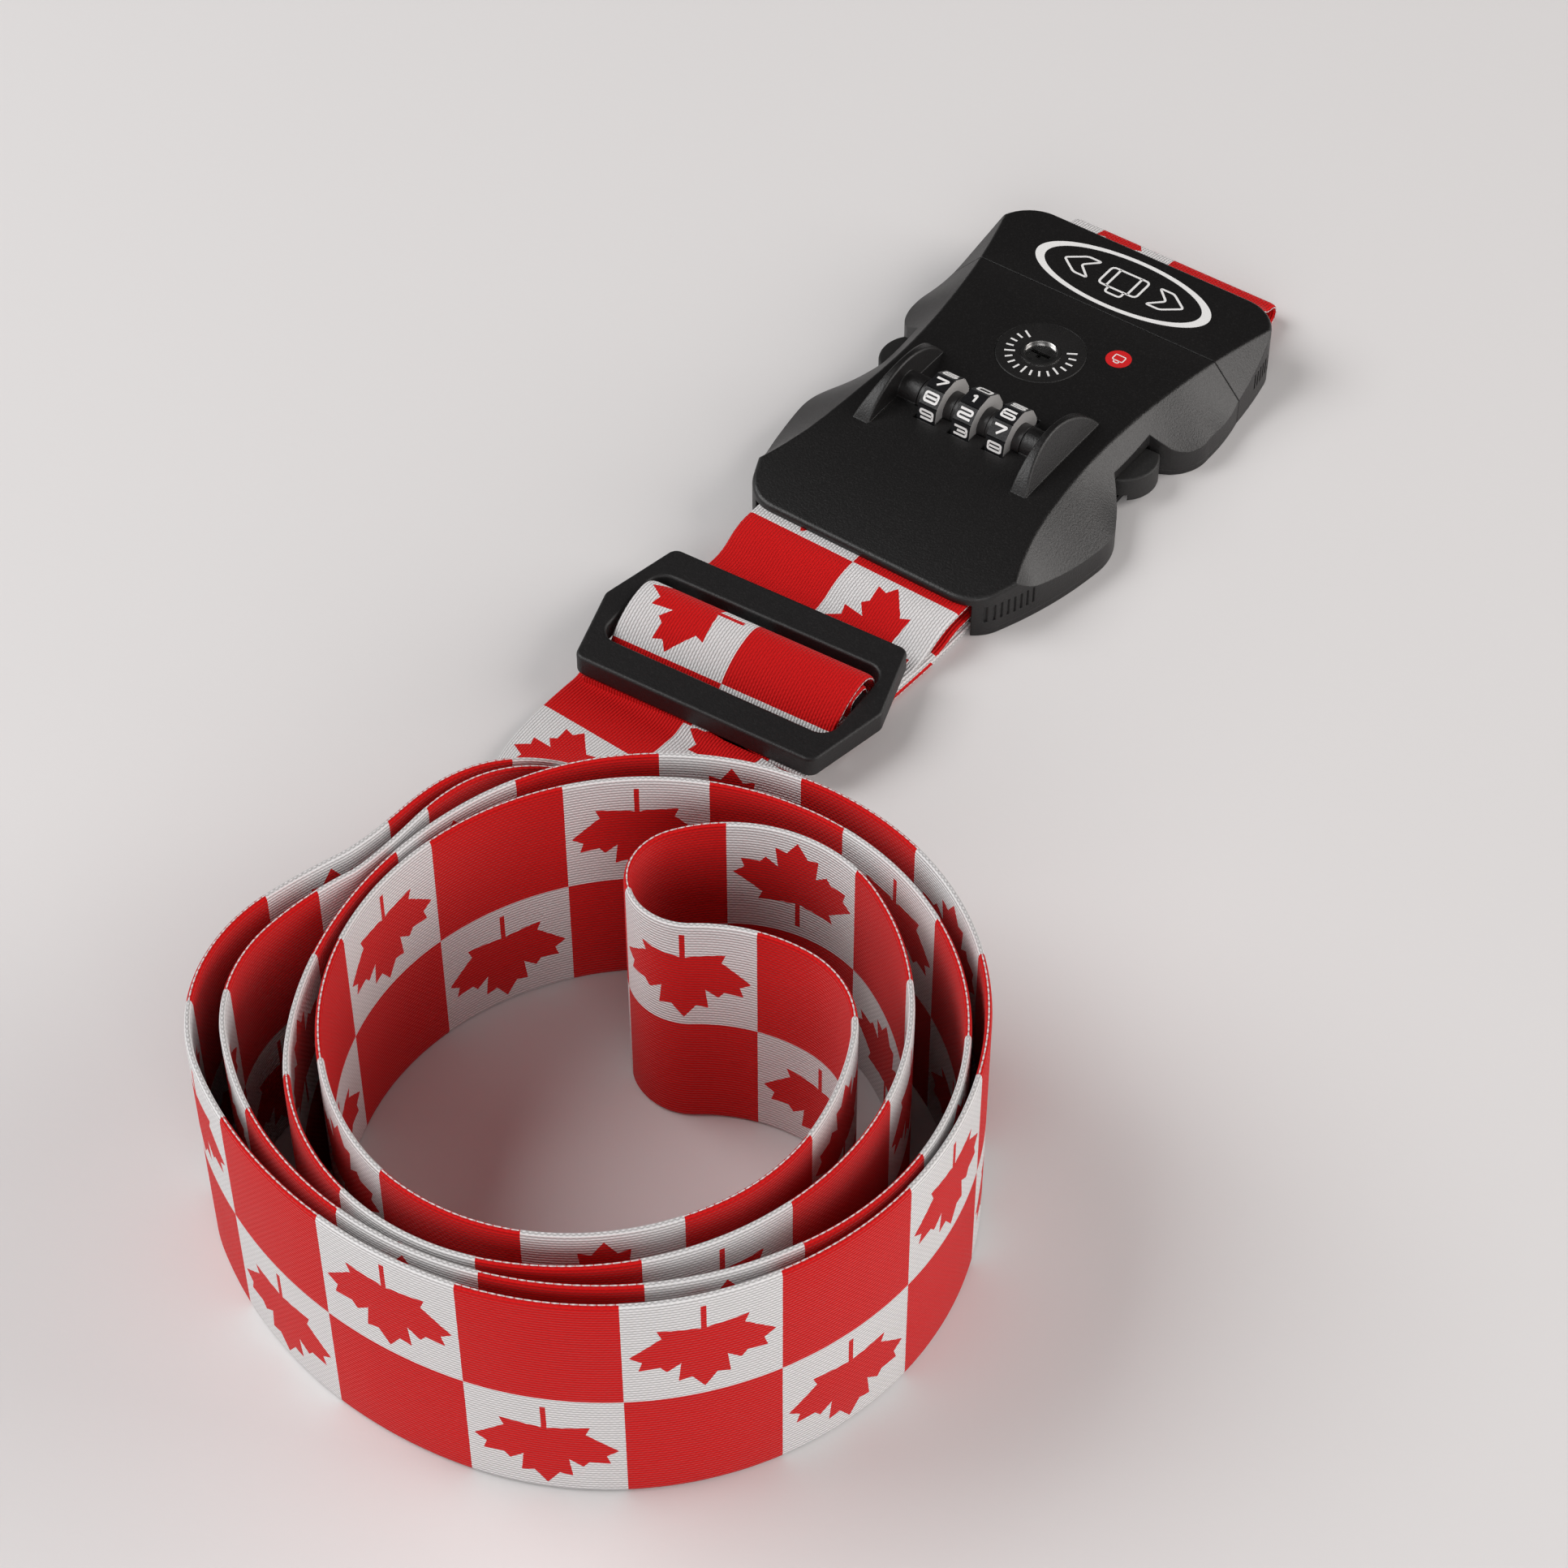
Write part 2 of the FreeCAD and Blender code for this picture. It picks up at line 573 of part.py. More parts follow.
# ---- male half ----
def male_cover():
    cover = envelope().common(behind_seam())
    cover = cover.cut(box(-CLEAR_OF_BODY, CLEAR_OF_BODY, 0, BODY_REAR + 5, -5, PARTING_Z))
    cover = cover.cut(cover_core(0.05))
    slot = box(-MOUTH_HALF, MOUTH_HALF, REAR_BAR_Y - 4.8, BODY_REAR + 1, 0, MOUTH_TOP)
    root_room = box(-CAVITY_HALF, CAVITY_HALF, SEAM_Y - 1, 43.5, PARTING_Z, 8.3)
    cover = cover.cut(slot).cut(root_room)
    cover = cover.cut(rod_x(BAR_RADIUS + FIT, -28.5, 28.5, REAR_BAR_Y, BAR_Z))
    for hole in screw_holes(MALE_SCREWS):
        cover = cover.cut(hole)
    grooves = grip_grooves(40.0, 7, -8)
    return cover.cut(grooves).cut(mirrored(grooves))


def male_base():
    """The male half's floor, the block that holds the release arms, and the guide tongue."""
    base = envelope().common(box(-CLEAR_OF_BODY, CLEAR_OF_BODY, 0, BODY_REAR + 5, -1, PARTING_Z))
    base = base.fuse(cover_core(0.0).cut(box(-MOUTH_HALF, MOUTH_HALF, -60, 60, 0, CHANNEL_TOP)))
    base = base.common(behind_seam())
    block = box(-27.4, 27.4, 33.5, 43.2, FLOOR_Z - 0.1, 8.0)
    for side in (-1, 1):
        x = side * ARM_PIVOT_X
        slot = [V(x + side * 3.2, 30, 0), V(x + side * 3.2, 38.4, 0), V(x - side * 2.2, 38.4, 0),
                V(x - side * 3.4, 30, 0), V(x + side * 3.2, 30, 0)]
        block = block.cut(Part.Face(Part.makePolygon(slot)).extrude(V(0, 0, 12)))
        block = block.cut(rod_z(ARM_PIVOT_RADIUS + 0.06, x, ARM_PIVOT_Y, 0, 12))
    tongue = box(-12.5, 12.5, -1.0, 34.0, 2.95, 4.4)
    tongue = rounded(tongue, 3.0, lambda e: e.BoundBox.ZLength > 1 and e.BoundBox.YMax < 0)
    base = base.fuse(block).fuse(tongue)
    for hole in screw_holes(MALE_SCREWS, heads=True):
        base = base.cut(hole)
    return base


def release_arm():
    """The right-hand spring arm: a root barrel, a slim beam, and the push button in the side notch."""
    barrel = rod_z(ARM_PIVOT_RADIUS, ARM_PIVOT_X, ARM_PIVOT_Y, 3.0, 7.2)
    beam = [V(24.6, 36.5, 0), V(26.6, 36.5, 0), V(27.2, 8.0, 0), V(27.2, -6.0, 0), V(25.0, -8.0, 0),
            V(24.2, -6.0, 0), V(24.6, 36.5, 0)]
    arm = Part.Face(Part.makePolygon(beam)).extrude(V(0, 0, 4.0))
    arm.translate(V(0, 0, 3.1))
    root = box(ARM_PIVOT_X, 26.4, 35.5, ARM_PIVOT_Y, 3.1, 7.1)
    front, middle, back = V(26.0, NOTCH_FRONT + 0.35, 0), V(32.9, 2.6, 0), V(31.2, NOTCH_BACK - 0.3, 0)
    rear_inner = V(26.0, NOTCH_BACK - 0.3, 0)
    wire = Part.Wire([Part.Arc(front, middle, back).toShape(), Part.makeLine(back, rear_inner),
                      Part.makeLine(rear_inner, front)])
    button = Part.Face(wire).extrude(V(0, 0, BUTTON_TOP - BUTTON_BOTTOM))
    button.translate(V(0, 0, BUTTON_BOTTOM))
    button = button.cut(box(20, BUTTON_SKIRT_X, -10, 12, 0, FLOOR_Z + 0.15))
    button = rounded(button, 0.5, lambda e: e.BoundBox.ZMin > BUTTON_TOP - 0.1 and e.BoundBox.XMax > 31)
    return arm.fuse(barrel).fuse(root).fuse(button).removeSplitter()


# ---- slider ----
def slider_frame():
    """The webbing adjuster: a six-sided frame with one window and a round-edged bar across it."""
    end, mid, length = SLIDER_END_HALF_WIDTH, SLIDER_MID_HALF_WIDTH, SLIDER_HALF_LENGTH
    corners = [V(-end, -length, 0), V(end, -length, 0), V(mid, 0, 0), V(end, length, 0), V(-end, length, 0),
               V(-mid, 0, 0), V(-end, -length, 0)]
    frame = Part.Face(Part.makePolygon(corners)).extrude(V(0, 0, SLIDER_THICK))
    frame = rounded(frame, 2.2, lambda e: e.BoundBox.ZLength > 1)
    half_x, half_y = SLIDER_WINDOW[0] / 2, SLIDER_WINDOW[1] / 2
    window = box(-half_x, half_x, -half_y, half_y, -1, SLIDER_THICK + 1)
    window = rounded(window, 3.5, lambda e: e.BoundBox.ZLength > 1)
    frame = frame.cut(window)
    frame = rounded(frame, 0.6, lambda e: e.BoundBox.ZLength < 0.01)
    frame.translate(V(0, 0, SLIDER_BOTTOM))
    near, far = SLIDER_BAR_Y - SLIDER_BAR_HALF, SLIDER_BAR_Y + SLIDER_BAR_HALF
    bar = box(-half_x - 2, half_x + 2, near, far, *SLIDER_BAR_Z)
    bar = rounded(bar, 1.1, lambda e: e.Length > 40)
    return on_slider(frame.fuse(bar))


def slider_webbing():
    """The strap's hump: under the rear bar, over the cross bar and down to the front bar."""
    low = SLIDER_BOTTOM - LAYER + WEB_THICK / 2
    rise = HUMP_CREST_Z - low
    foot, back, brow, toe = 2.0, 13.5, 4.6, 1.6
    climb = math.degrees(math.acos(1 - rise / (foot + back)))
    fall = 75.0
    bends = (brow + toe) * (1 - math.cos(math.radians(fall)))
    straight = (rise - bends) / math.sin(math.radians(fall))
    steps = [(8.0, 0), bend(foot, climb), bend(back, -climb), bend(brow, -fall), (straight, 0),
             bend(toe, fall), (1.5, 0)]
    return on_slider(flat_ribbon((-SLIDER_HALF_LENGTH - 0.1, low), 0, steps))


def bend(radius, turn):
    return (radius * math.radians(abs(turn)), turn)


def sewn_tab():
    """The strap's sewn end, folded round the slider's cross bar."""
    low, high = SLIDER_BAR_Z
    near, far = SLIDER_BAR_Y - SLIDER_BAR_HALF, SLIDER_BAR_Y + SLIDER_BAR_HALF
    gap = 0.05
    out = gap + WEB_THICK
    half = WEB_WIDTH / 2
    outer = box(-half, half, near - out, far + out, low - out, high + out)
    outer = rounded(outer, 2.2, lambda e: e.Length > 40)
    inner = box(-half - 1, half + 1, near - gap, far + gap, low - gap, high + gap)
    inner = rounded(inner, 1.0, lambda e: e.Length > 40)
    return on_slider(outer.cut(inner))


# ---- webbing ----
def strap_coil():
    """The wound part: two strands on edge, joined by the loop's inner turn."""
    return ribbon(COIL_START, COIL_HEADING, COIL_STEPS, WEB_WIDTH)


def hermite(a, b, ta, tb, t):
    return ((2 * t**3 - 3 * t**2 + 1) * a + (t**3 - 2 * t**2 + t) * ta + (3 * t**2 - 2 * t**3) * b
            + (t**3 - t**2) * tb)


def twist(layer, beside_at_coil):
    """A strand that turns from flat on the floor to upright on its edge, where it meets the coil.

    layer is the strand's layer number while flat. beside_at_coil is its distance from the upper strand
    where both are upright; the lower strand leaves that much room on the coil's inner side.
    """
    first, last = math.radians(STRAP_SKEW - 90), math.radians(COIL_HEADING)
    run = STRAP_PIVOT_Y - TWIST_START_Y
    start = V(run * math.cos(first), STRAP_PIVOT_Y + run * math.sin(first), 0)
    leaving = V(math.cos(first), math.sin(first), 0) * TWIST_REACH[0]
    meeting = V(math.cos(last), math.sin(last), 0) * TWIST_REACH[1]
    half, thin, count = WEB_WIDTH / 2, WEB_THICK / 2, 13
    upright_from = 0.8
    sections = []
    for n in range(count):
        t = n / (count - 1)
        place = hermite(start, V(*COIL_START, 0), leaving, meeting, t)
        heading = first + (last - first) * t**3
        u = min(1.0, t / upright_from)
        lean = math.pi / 2 * (6 * u**5 - 15 * u**4 + 10 * u**3)
        left = V(-math.sin(heading), math.cos(heading), 0)
        across = left * math.cos(lean) + V(0, 0, math.sin(lean))
        upper = V(0, 0, math.cos(lean)) - left * math.sin(lean)
        beside = left * (beside_at_coil * t * t + (1 - t * t) * (1 - layer) * LAYER)
        rest = V(0, 0, half * math.sin(lean) + (layer * LAYER + thin) * math.cos(lean))
        middle = place + rest + beside * math.sin(lean)
        ring = [middle + across * half + upper * thin, middle - across * half + upper * thin,
                middle - across * half - upper * thin, middle + across * half - upper * thin]
        sections.append(Part.makePolygon(ring + ring[:1]))
    return Part.makeLoft(sections, True, False)


def upper_twist():
    return twist(1, 0.0)


def lower_twist():
    x, y, _ = walk(COIL_START, COIL_HEADING, COIL_STEPS)[-1]
    return twist(0, math.hypot(x - COIL_START[0], y - COIL_START[1]))


def coil_side_run():
    """The upper strand from the twist to under the slider."""
    strip = box(-WEB_WIDTH / 2, WEB_WIDTH / 2, TWIST_START_Y + 0.1, -103.0, LAYER, LAYER + WEB_THICK)
    return skewed(strip)


def adjuster_loop():
    """From the slider along the floor layer, up into the buckle's mouth and round the front bar."""
    half = WEB_WIDTH / 2
    under_slider = skewed(box(-half, half, -91.5, STRAP_PIVOT_Y, LAYER, LAYER + WEB_THICK))
    turn = BAR_RADIUS + 0.05 + WEB_THICK / 2
    rise = BAR_Z - turn - (LAYER + WEB_THICK / 2)
    up, run = ramp(rise, 9.0)
    inside = 8.0
    start_y = STRAP_PIVOT_Y - 1.0
    straight = FRONT_BAR_Y - start_y - run - inside
    steps = [(straight, 0), *up, (inside, 0), bend(turn, 180), (2.0, 0)]
    return under_slider.fuse(flat_ribbon((start_y, LAYER + WEB_THICK / 2), 0, steps)).removeSplitter()


def upper_run():
    """From the top of the front bar out of the mouth and down to the slider's rear bar."""
    high = BAR_Z + BAR_RADIUS + 0.05 + WEB_THICK / 2
    low = SLIDER_BOTTOM - LAYER + WEB_THICK / 2
    down, run = ramp(high - low, 12.0)
    start_y = FRONT_BAR_Y - 2.1
    inside = 8.0
    slope = flat_ribbon((start_y, high), 180, [(inside, 0), *down, (0.5, 0)])
    half = WEB_WIDTH / 2
    end = skewed(box(-half, half, -73.8, start_y - inside - run, low - WEB_THICK / 2, low + WEB_THICK / 2))
    return slope.fuse(end).removeSplitter()


def lower_run():
    """The lower strand on the floor, from the twist under the slider and the lock body."""
    half = WEB_WIDTH / 2
    front = skewed(box(-half, half, TWIST_START_Y + 0.1, STRAP_PIVOT_Y, 0, WEB_THICK))
    back = box(-half, half, STRAP_PIVOT_Y - 1, SEAM_Y + 1.0, 0, WEB_THICK)
    return front.fuse(back).removeSplitter()


def rear_loop():
    """The lower strand's sewn end: under the male half, back on itself and round the rear bar."""
    start_y = SEAM_Y + 1.5
    turn_centre_y = 62.2
    low, high = WEB_THICK / 2, BAR_Z + BAR_RADIUS + 0.05 + WEB_THICK / 2
    turn = 2.2
    up, run = ramp(high - (low + 2 * turn), 4.0)
    back = turn_centre_y - REAR_BAR_Y - run
    up = [(length, -angle) for length, angle in up]
    wrap = BAR_RADIUS + 0.05 + WEB_THICK / 2
    steps = [(turn_centre_y - start_y, 0), bend(turn, 180), *up, (back, 0), bend(wrap, 180), (7.5, 0)]
    return flat_ribbon((start_y, low), 0, steps)


def build():
    arm = release_arm()
    shell = lock_top_shell().fuse(detent_post()).fuse(bolt_spring_rib())
    nodes = {
        "lock_top_shell": shell,
        "lock_bottom_cover": lock_bottom_cover(),
        "front_strap_bar": strap_bar(FRONT_BAR_Y),
        "lock_screws": screws(LOCK_SCREWS),
        "dial_axle": dial_axle(),
        "detent_spring": detent_spring(),
        "keyhole_plate": keyhole_plate(),
        "key_cylinder": key_cylinder(),
        "lock_bolt": lock_bolt(),
        "bolt_spring": bolt_spring(),
        "male_cover": male_cover(),
        "male_base": male_base(),
        "rear_strap_bar": strap_bar(REAR_BAR_Y),
        "male_screws": screws(MALE_SCREWS),
        "release_arm_right": arm,
        "release_arm_left": mirrored(arm),
        "slider_frame": slider_frame(),
        "slider_webbing": slider_webbing(),
        "sewn_tab": sewn_tab(),
        "strap_coil": strap_coil(),
        "upper_twist": upper_twist(),
        "lower_twist": lower_twist(),
        "coil_side_run": coil_side_run(),
        "adjuster_loop": adjuster_loop(),
        "upper_run": upper_run(),
        "lower_run": lower_run(),
        "rear_loop": rear_loop(),
    }
    for n in (-1, 0, 1):
        nodes[f"number_dial_{n + 2}"] = number_dial(n)
        nodes[f"dial_sleeve_{n + 2}"] = dial_sleeve(n)
    return nodes


os.makedirs("parts", exist_ok=True)
for name, shape in build().items():
    if not shape.isValid():
        print("invalid shape:", name)
    shape.exportStep(f"parts/{name}.step")
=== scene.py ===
"""The visual model of the luggage strap: printed webbing, the buckle with its lock, and the studio."""

import math

import bmesh
import bpy
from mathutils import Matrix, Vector


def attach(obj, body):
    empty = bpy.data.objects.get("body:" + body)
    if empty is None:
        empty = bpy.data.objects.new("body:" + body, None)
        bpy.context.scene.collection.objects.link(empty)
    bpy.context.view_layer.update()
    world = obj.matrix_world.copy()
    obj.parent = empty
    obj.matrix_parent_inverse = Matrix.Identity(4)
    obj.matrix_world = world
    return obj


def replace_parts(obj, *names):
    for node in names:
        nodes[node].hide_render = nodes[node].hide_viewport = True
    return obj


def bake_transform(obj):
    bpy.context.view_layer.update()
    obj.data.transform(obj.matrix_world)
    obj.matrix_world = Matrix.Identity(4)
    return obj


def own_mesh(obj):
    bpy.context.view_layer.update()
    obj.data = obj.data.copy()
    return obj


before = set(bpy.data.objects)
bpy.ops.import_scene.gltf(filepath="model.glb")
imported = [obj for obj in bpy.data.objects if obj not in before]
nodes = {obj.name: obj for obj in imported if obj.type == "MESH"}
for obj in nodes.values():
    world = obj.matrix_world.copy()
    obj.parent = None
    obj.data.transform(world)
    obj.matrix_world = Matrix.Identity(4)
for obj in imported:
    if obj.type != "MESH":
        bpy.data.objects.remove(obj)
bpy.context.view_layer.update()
MM = 0.001

# ---- the webbing's section and print, in millimetres ----
WEB_HALF = 25.0
WEB_THICK = 1.16
STATION_STEP = 0.7
SERRATION = 0.025
RIB_PITCH, THREAD_PITCH = 0.63, 0.95
CHECK = 25.4
# the leaf: its size, how far its middle lies from the check's middle, and its stem
LEAF_SIZE, LEAF_MIDDLE = 12.5, 1.2
STEM_LENGTH, STEM_HALF_WIDTH = 9.0, 0.45
# the printed length at which each cut run starts
COIL_PRINT = -65.5
HUMP_PRINT = CHECK * 12 - 12.0
UPPER_PRINT = CHECK * 20 - 20.8
RETURN_PRINT = CHECK * 31 - 6.0
TAB_PRINT = CHECK * 40 - 3.0
REAR_PRINT = CHECK * 60 - 17.5

# ---- the webbing's run, in millimetres, as in the CAD ----
# from strand to strand in a stack, from the ground to the lowest strand's middle, and to the slider's strand
LAYER, LAID, SLIDER_LAYER = 1.3, 0.6, 3.2
PIVOT_Y, SOFT_BEND = -62.0, 6.0
SKEW = math.radians(-3.6)
TWIST_START_Y = -110.0
TWIST_REACH = (76.0, 46.0)
COIL_START = (-3.0, -200.0)
COIL_HEADING = -109.0
# (length, turn in degrees) of each arc: in to the fold at the coil's middle, then back out beside itself
COIL_STEPS = [
    (14, 7), (40, 71), (60, 44), (60, 56), (60, 57), (60, 63), (60, 65), (60, 51), (60, 79),
    (60, 63), (60, 66), (40, 84), (30, 160), (20, -36), (20, -63), (20, -21), (20, -30), (30, -37),
    (40, -57), (60, -68), (60, -66), (60, -65), (60, -67), (60, -54), (60, -55), (24, -50), (17.655, -17),
]
SLIDER_X, SLIDER_Y, SLIDER_YAW = -2.3, -88.5, math.radians(4.0)
BAR_Z, BAR_R = 5.3, 1.2
FRONT_BAR_Y, REAR_BAR_Y = -46.0, 48.2
# how far a strand's middle lies from the middle of the bar that it goes round
WRAP = BAR_R + 0.05 + LAID

# ---- places on the buckle, in millimetres, as in the CAD ----
TOP_Z = 13.2
LOCK_X, DIAL_Y = -0.8, -11.0
DIAL_PITCH, DIAL_SIDES = 8.2, 10
FACET_REACH = 5.99
KEY_X, KEY_Y = -1.5, 13.5
PLATE_TOP = TOP_Z + 0.12
# how far a bevel shader rounds the moulded edges
EDGE_ROUND = 0.35


# ---- node helpers ----
class Nodes:
    """A material's node tree with short ways to add maths."""

    def __init__(self, name):
        self.material = bpy.data.materials.new(name)
        self.material.use_nodes = True
        self.tree = self.material.node_tree
        self.shader = self.tree.nodes["Principled BSDF"]

    def add(self, kind, **settings):
        """A new node with the given settings."""
        node = self.tree.nodes.new(kind)
        for key, value in settings.items():
            setattr(node, key, value)
        return node

    def put(self, socket, value):
        """Links a socket to another node's output, or sets its plain value."""
        if isinstance(value, bpy.types.NodeSocket):
            self.tree.links.new(value, socket)
        elif isinstance(value, (tuple, list)) and len(value) == 3 and socket.type == "RGBA":
            socket.default_value = (*value, 1)
        else:
            socket.default_value = value

    def maths(self, operation, *values, clamp=False):
        node = self.add("ShaderNodeMath", operation=operation, use_clamp=clamp)
        for socket, value in zip(node.inputs, values):
            self.put(socket, value)
        return node.outputs[0]

    def mix(self, factor, a, b):
        """A colour between a and b."""
        node = self.add("ShaderNodeMix", data_type="RGBA")
        self.put(node.inputs["Factor"], factor)
        self.put(node.inputs[6], a)
        self.put(node.inputs[7], b)
        return node.outputs[2]

    def blend(self, factor, a, b):
        """A number between a and b."""
        node = self.add("ShaderNodeMix", data_type="FLOAT")
        self.put(node.inputs["Factor"], factor)
        self.put(node.inputs[2], a)
        self.put(node.inputs[3], b)
        return node.outputs[0]

    def attribute(self, name):
        return self.add("ShaderNodeAttribute", attribute_name=name).outputs["Fac"]

    def noise(self, scale, detail=3.0, roughness=0.5, vector=None, warp=0.0):
        node = self.add("ShaderNodeTexNoise")
        self.put(node.inputs["Vector"], vector or self.place())
        node.inputs["Scale"].default_value = scale
        node.inputs["Detail"].default_value = detail
        node.inputs["Roughness"].default_value = roughness
        node.inputs["Distortion"].default_value = warp
        return node.outputs["Fac"]

    def place(self):
        return self.add("ShaderNodeTexCoord").outputs["Object"]

    def bump(self, height, depth, below=None):
        node = self.add("ShaderNodeBump")
        node.inputs["Strength"].default_value = 1.0
        node.inputs["Distance"].default_value = depth
        self.put(node.inputs["Height"], height)
        if below is not None:
            self.put(node.inputs["Normal"], below)
        return node.outputs[0]

    def set(self, **values):
        """Fills the shader's inputs and returns the material; an underscore stands for a space."""
        for key, value in values.items():
            self.put(self.shader.inputs[key.replace("_", " ")], value)
        return self.material


# ---- materials ----
def straight_edge(start, end, count):
    """Points from start towards end as (angle from the tip, distance from the leaf's middle)."""
    points = []
    for k in range(count):
        x = start[0] + (end[0] - start[0]) * k / count
        y = start[1] + (end[1] - start[1]) * k / count
        points.append((math.atan2(x, y) / math.pi, math.hypot(x, y)))
    return points


def leaf_curve(n, angle):
    """The leaf's outline: its radius for an angle of 0 at the tip to 1 at the stem, in straight edges."""
    node = n.add("ShaderNodeFloatCurve")
    curve = node.mapping.curves[0]
    corners = [(0, 0.95), (0.16, 0.70), (0.33, 0.75), (0.29, 0.38), (0.47, 0.53), (0.55, 0.42), (0.82, 0.45),
               (0.77, 0.28), (0.93, 0.17), (0.52, -0.18), (0.58, -0.34), (0.05, -0.27), (0, -0.27)]
    outline = []
    for start, end in zip(corners, corners[1:]):
        outline += straight_edge(start, end, 3)
    outline.append((1.0, 0.27))
    while len(curve.points) < len(outline):
        curve.points.new(0.5, 0.5)
    for point, place in zip(curve.points, outline):
        point.location = place
        point.handle_type = "VECTOR"
    node.mapping.update()
    n.put(node.inputs["Value"], angle)
    return node.outputs[0]


def webbing_material():
    """Red and leaf-printed white checks on a ribbed twill, drawn from the webbing's own length and width."""
    n = Nodes("webbing_print")
    along, across = n.attribute("web_s"), n.attribute("web_v")
    wobble = n.maths("MULTIPLY", n.maths("SUBTRACT", n.noise(900, 2), 0.5), 0.10)
    s = n.maths("ADD", along, wobble)
    v = n.maths("ADD", across, wobble)
    column = n.maths("FLOOR", n.maths("DIVIDE", s, CHECK))
    upper = n.maths("GREATER_THAN", v, 0.0)
    odd = n.maths("PINGPONG", n.maths("ADD", column, upper), 1.0)
    u = n.maths("SUBTRACT", n.maths("MODULO", n.maths("ADD", s, 200 * CHECK), CHECK), CHECK / 2)
    w = n.maths("SUBTRACT", v, n.maths("MULTIPLY", n.maths("SUBTRACT", upper, 0.5), WEB_HALF))
    # the back is printed the other way up
    on_front = n.maths("GREATER_THAN", n.attribute("web_face"), 0.0)
    face = n.maths("SUBTRACT", n.maths("MULTIPLY", on_front, 2.0), 1.0)
    down = n.maths("SUBTRACT", LEAF_MIDDLE, n.maths("MULTIPLY", w, face))
    side = n.maths("ABSOLUTE", u)
    angle = n.maths("DIVIDE", n.maths("ARCTAN2", side, down), math.pi)
    radius = n.maths("SQRT", n.maths("ADD", n.maths("POWER", side, 2.0), n.maths("POWER", down, 2.0)))
    reach = n.maths("MULTIPLY", leaf_curve(n, angle), LEAF_SIZE)
    blade = n.maths("LESS_THAN", radius, reach)
    stem_width = n.maths("LESS_THAN", side, STEM_HALF_WIDTH)
    from_stem_middle = n.maths("ABSOLUTE", n.maths("ADD", down, STEM_LENGTH / 2))
    stem_length = n.maths("LESS_THAN", from_stem_middle, STEM_LENGTH / 2)
    stem = n.maths("MULTIPLY", stem_width, stem_length)
    leaf = n.maths("MAXIMUM", blade, stem)
    red_part = n.maths("MAXIMUM", odd, leaf)
    inside = n.maths("LESS_THAN", n.maths("ABSOLUTE", across), WEB_HALF - 0.05)
    red_part = n.maths("MULTIPLY", red_part, inside)
    # fine ribs along the strap, each one broken into short threads that alternate from rib to rib
    rib_place = n.maths("DIVIDE", across, RIB_PITCH)
    rib_wave = n.maths("COSINE", n.maths("MULTIPLY", rib_place, 2 * math.pi))
    rib_number = n.maths("ROUND", rib_place)
    stagger = n.maths("MULTIPLY", rib_number, 0.5)
    thread_place = n.maths("ADD", n.maths("DIVIDE", along, THREAD_PITCH), stagger)
    thread_wave = n.maths("COSINE", n.maths("MULTIPLY", thread_place, 2 * math.pi))
    fibre = n.noise(5200, 3, 0.65)
    rib = n.maths("ADD", n.maths("MULTIPLY", rib_wave, 0.5), 0.5)
    thread = n.maths("ADD", n.maths("MULTIPLY", thread_wave, 0.25), n.maths("MULTIPLY", fibre, 0.12))
    weave = n.maths("ADD", rib, thread)
    # painted shade: the white and the red darken in the gaps between the ribs, more where the threads cross,
    # standing in for shade in the weave
    gap = n.maths("POWER", n.maths("SUBTRACT", 1.0, rib), 1.6)
    rib_gap_shade = n.maths("MULTIPLY", gap, n.maths("SUBTRACT", 0.8, n.maths("MULTIPLY", thread_wave, 0.35)))
    cloud = n.noise(60, 4)
    white = n.mix(rib_gap_shade, (0.84, 0.825, 0.825), (0.34, 0.325, 0.325))
    white = n.mix(n.maths("MULTIPLY", cloud, 0.15), white, (0.66, 0.62, 0.62))
    red = n.mix(n.maths("MULTIPLY", rib_gap_shade, 0.7), (0.68, 0.0035, 0.0038), (0.27, 0.001, 0.0012))
    red = n.mix(n.maths("MULTIPLY", fibre, 0.25), red, (0.52, 0.005, 0.006))
    colour = n.mix(red_part, white, red)
    bump = n.bump(weave, 0.00014)
    roughness = n.blend(cloud, 0.62, 0.78)
    return n.set(Base_Color=colour, Roughness=roughness, Normal=bump, Sheen_Weight=0.08, Sheen_Roughness=0.4,
                 Specular_IOR_Level=0.14)


def moulded(name, colour, roughness=0.34, grain=2400, depth=0.00006):
    """Moulded plastic: a fine spark-eroded grain, slight colour drift and a painted highlight that lightens
    the sharp edges.
    """
    n = Nodes(name)
    fine = n.noise(grain, 2, 0.6)
    broad = n.noise(45, 3)
    tone = n.mix(n.maths("MULTIPLY", broad, 0.6), colour, tuple(c * 1.5 for c in colour))
    speck = n.maths("MULTIPLY", n.maths("SUBTRACT", fine, 0.56), 5.0, clamp=True)
    tone = n.mix(speck, tone, tuple(c * 2.2 for c in colour))
    # painted highlight: the colour is lightened on sharp convex edges, standing in for the light that those
    # edges catch
    pointed = n.add("ShaderNodeNewGeometry").outputs["Pointiness"]
    edge = n.maths("MULTIPLY", n.maths("SUBTRACT", pointed, 0.53), 9.0, clamp=True)
    tone = n.mix(n.maths("MULTIPLY", edge, 0.5), tone, tuple(c * 2.6 for c in colour))
    rough = n.maths("ADD", n.maths("MULTIPLY", fine, 0.16), roughness)
    soft_edge = n.add("ShaderNodeBevel", samples=4)
    soft_edge.inputs["Radius"].default_value = EDGE_ROUND * MM
    grain_bump = n.bump(fine, depth, below=soft_edge.outputs[0])
    return n.set(Base_Color=tone, Roughness=rough, Normal=grain_bump, Specular_IOR_Level=0.5)


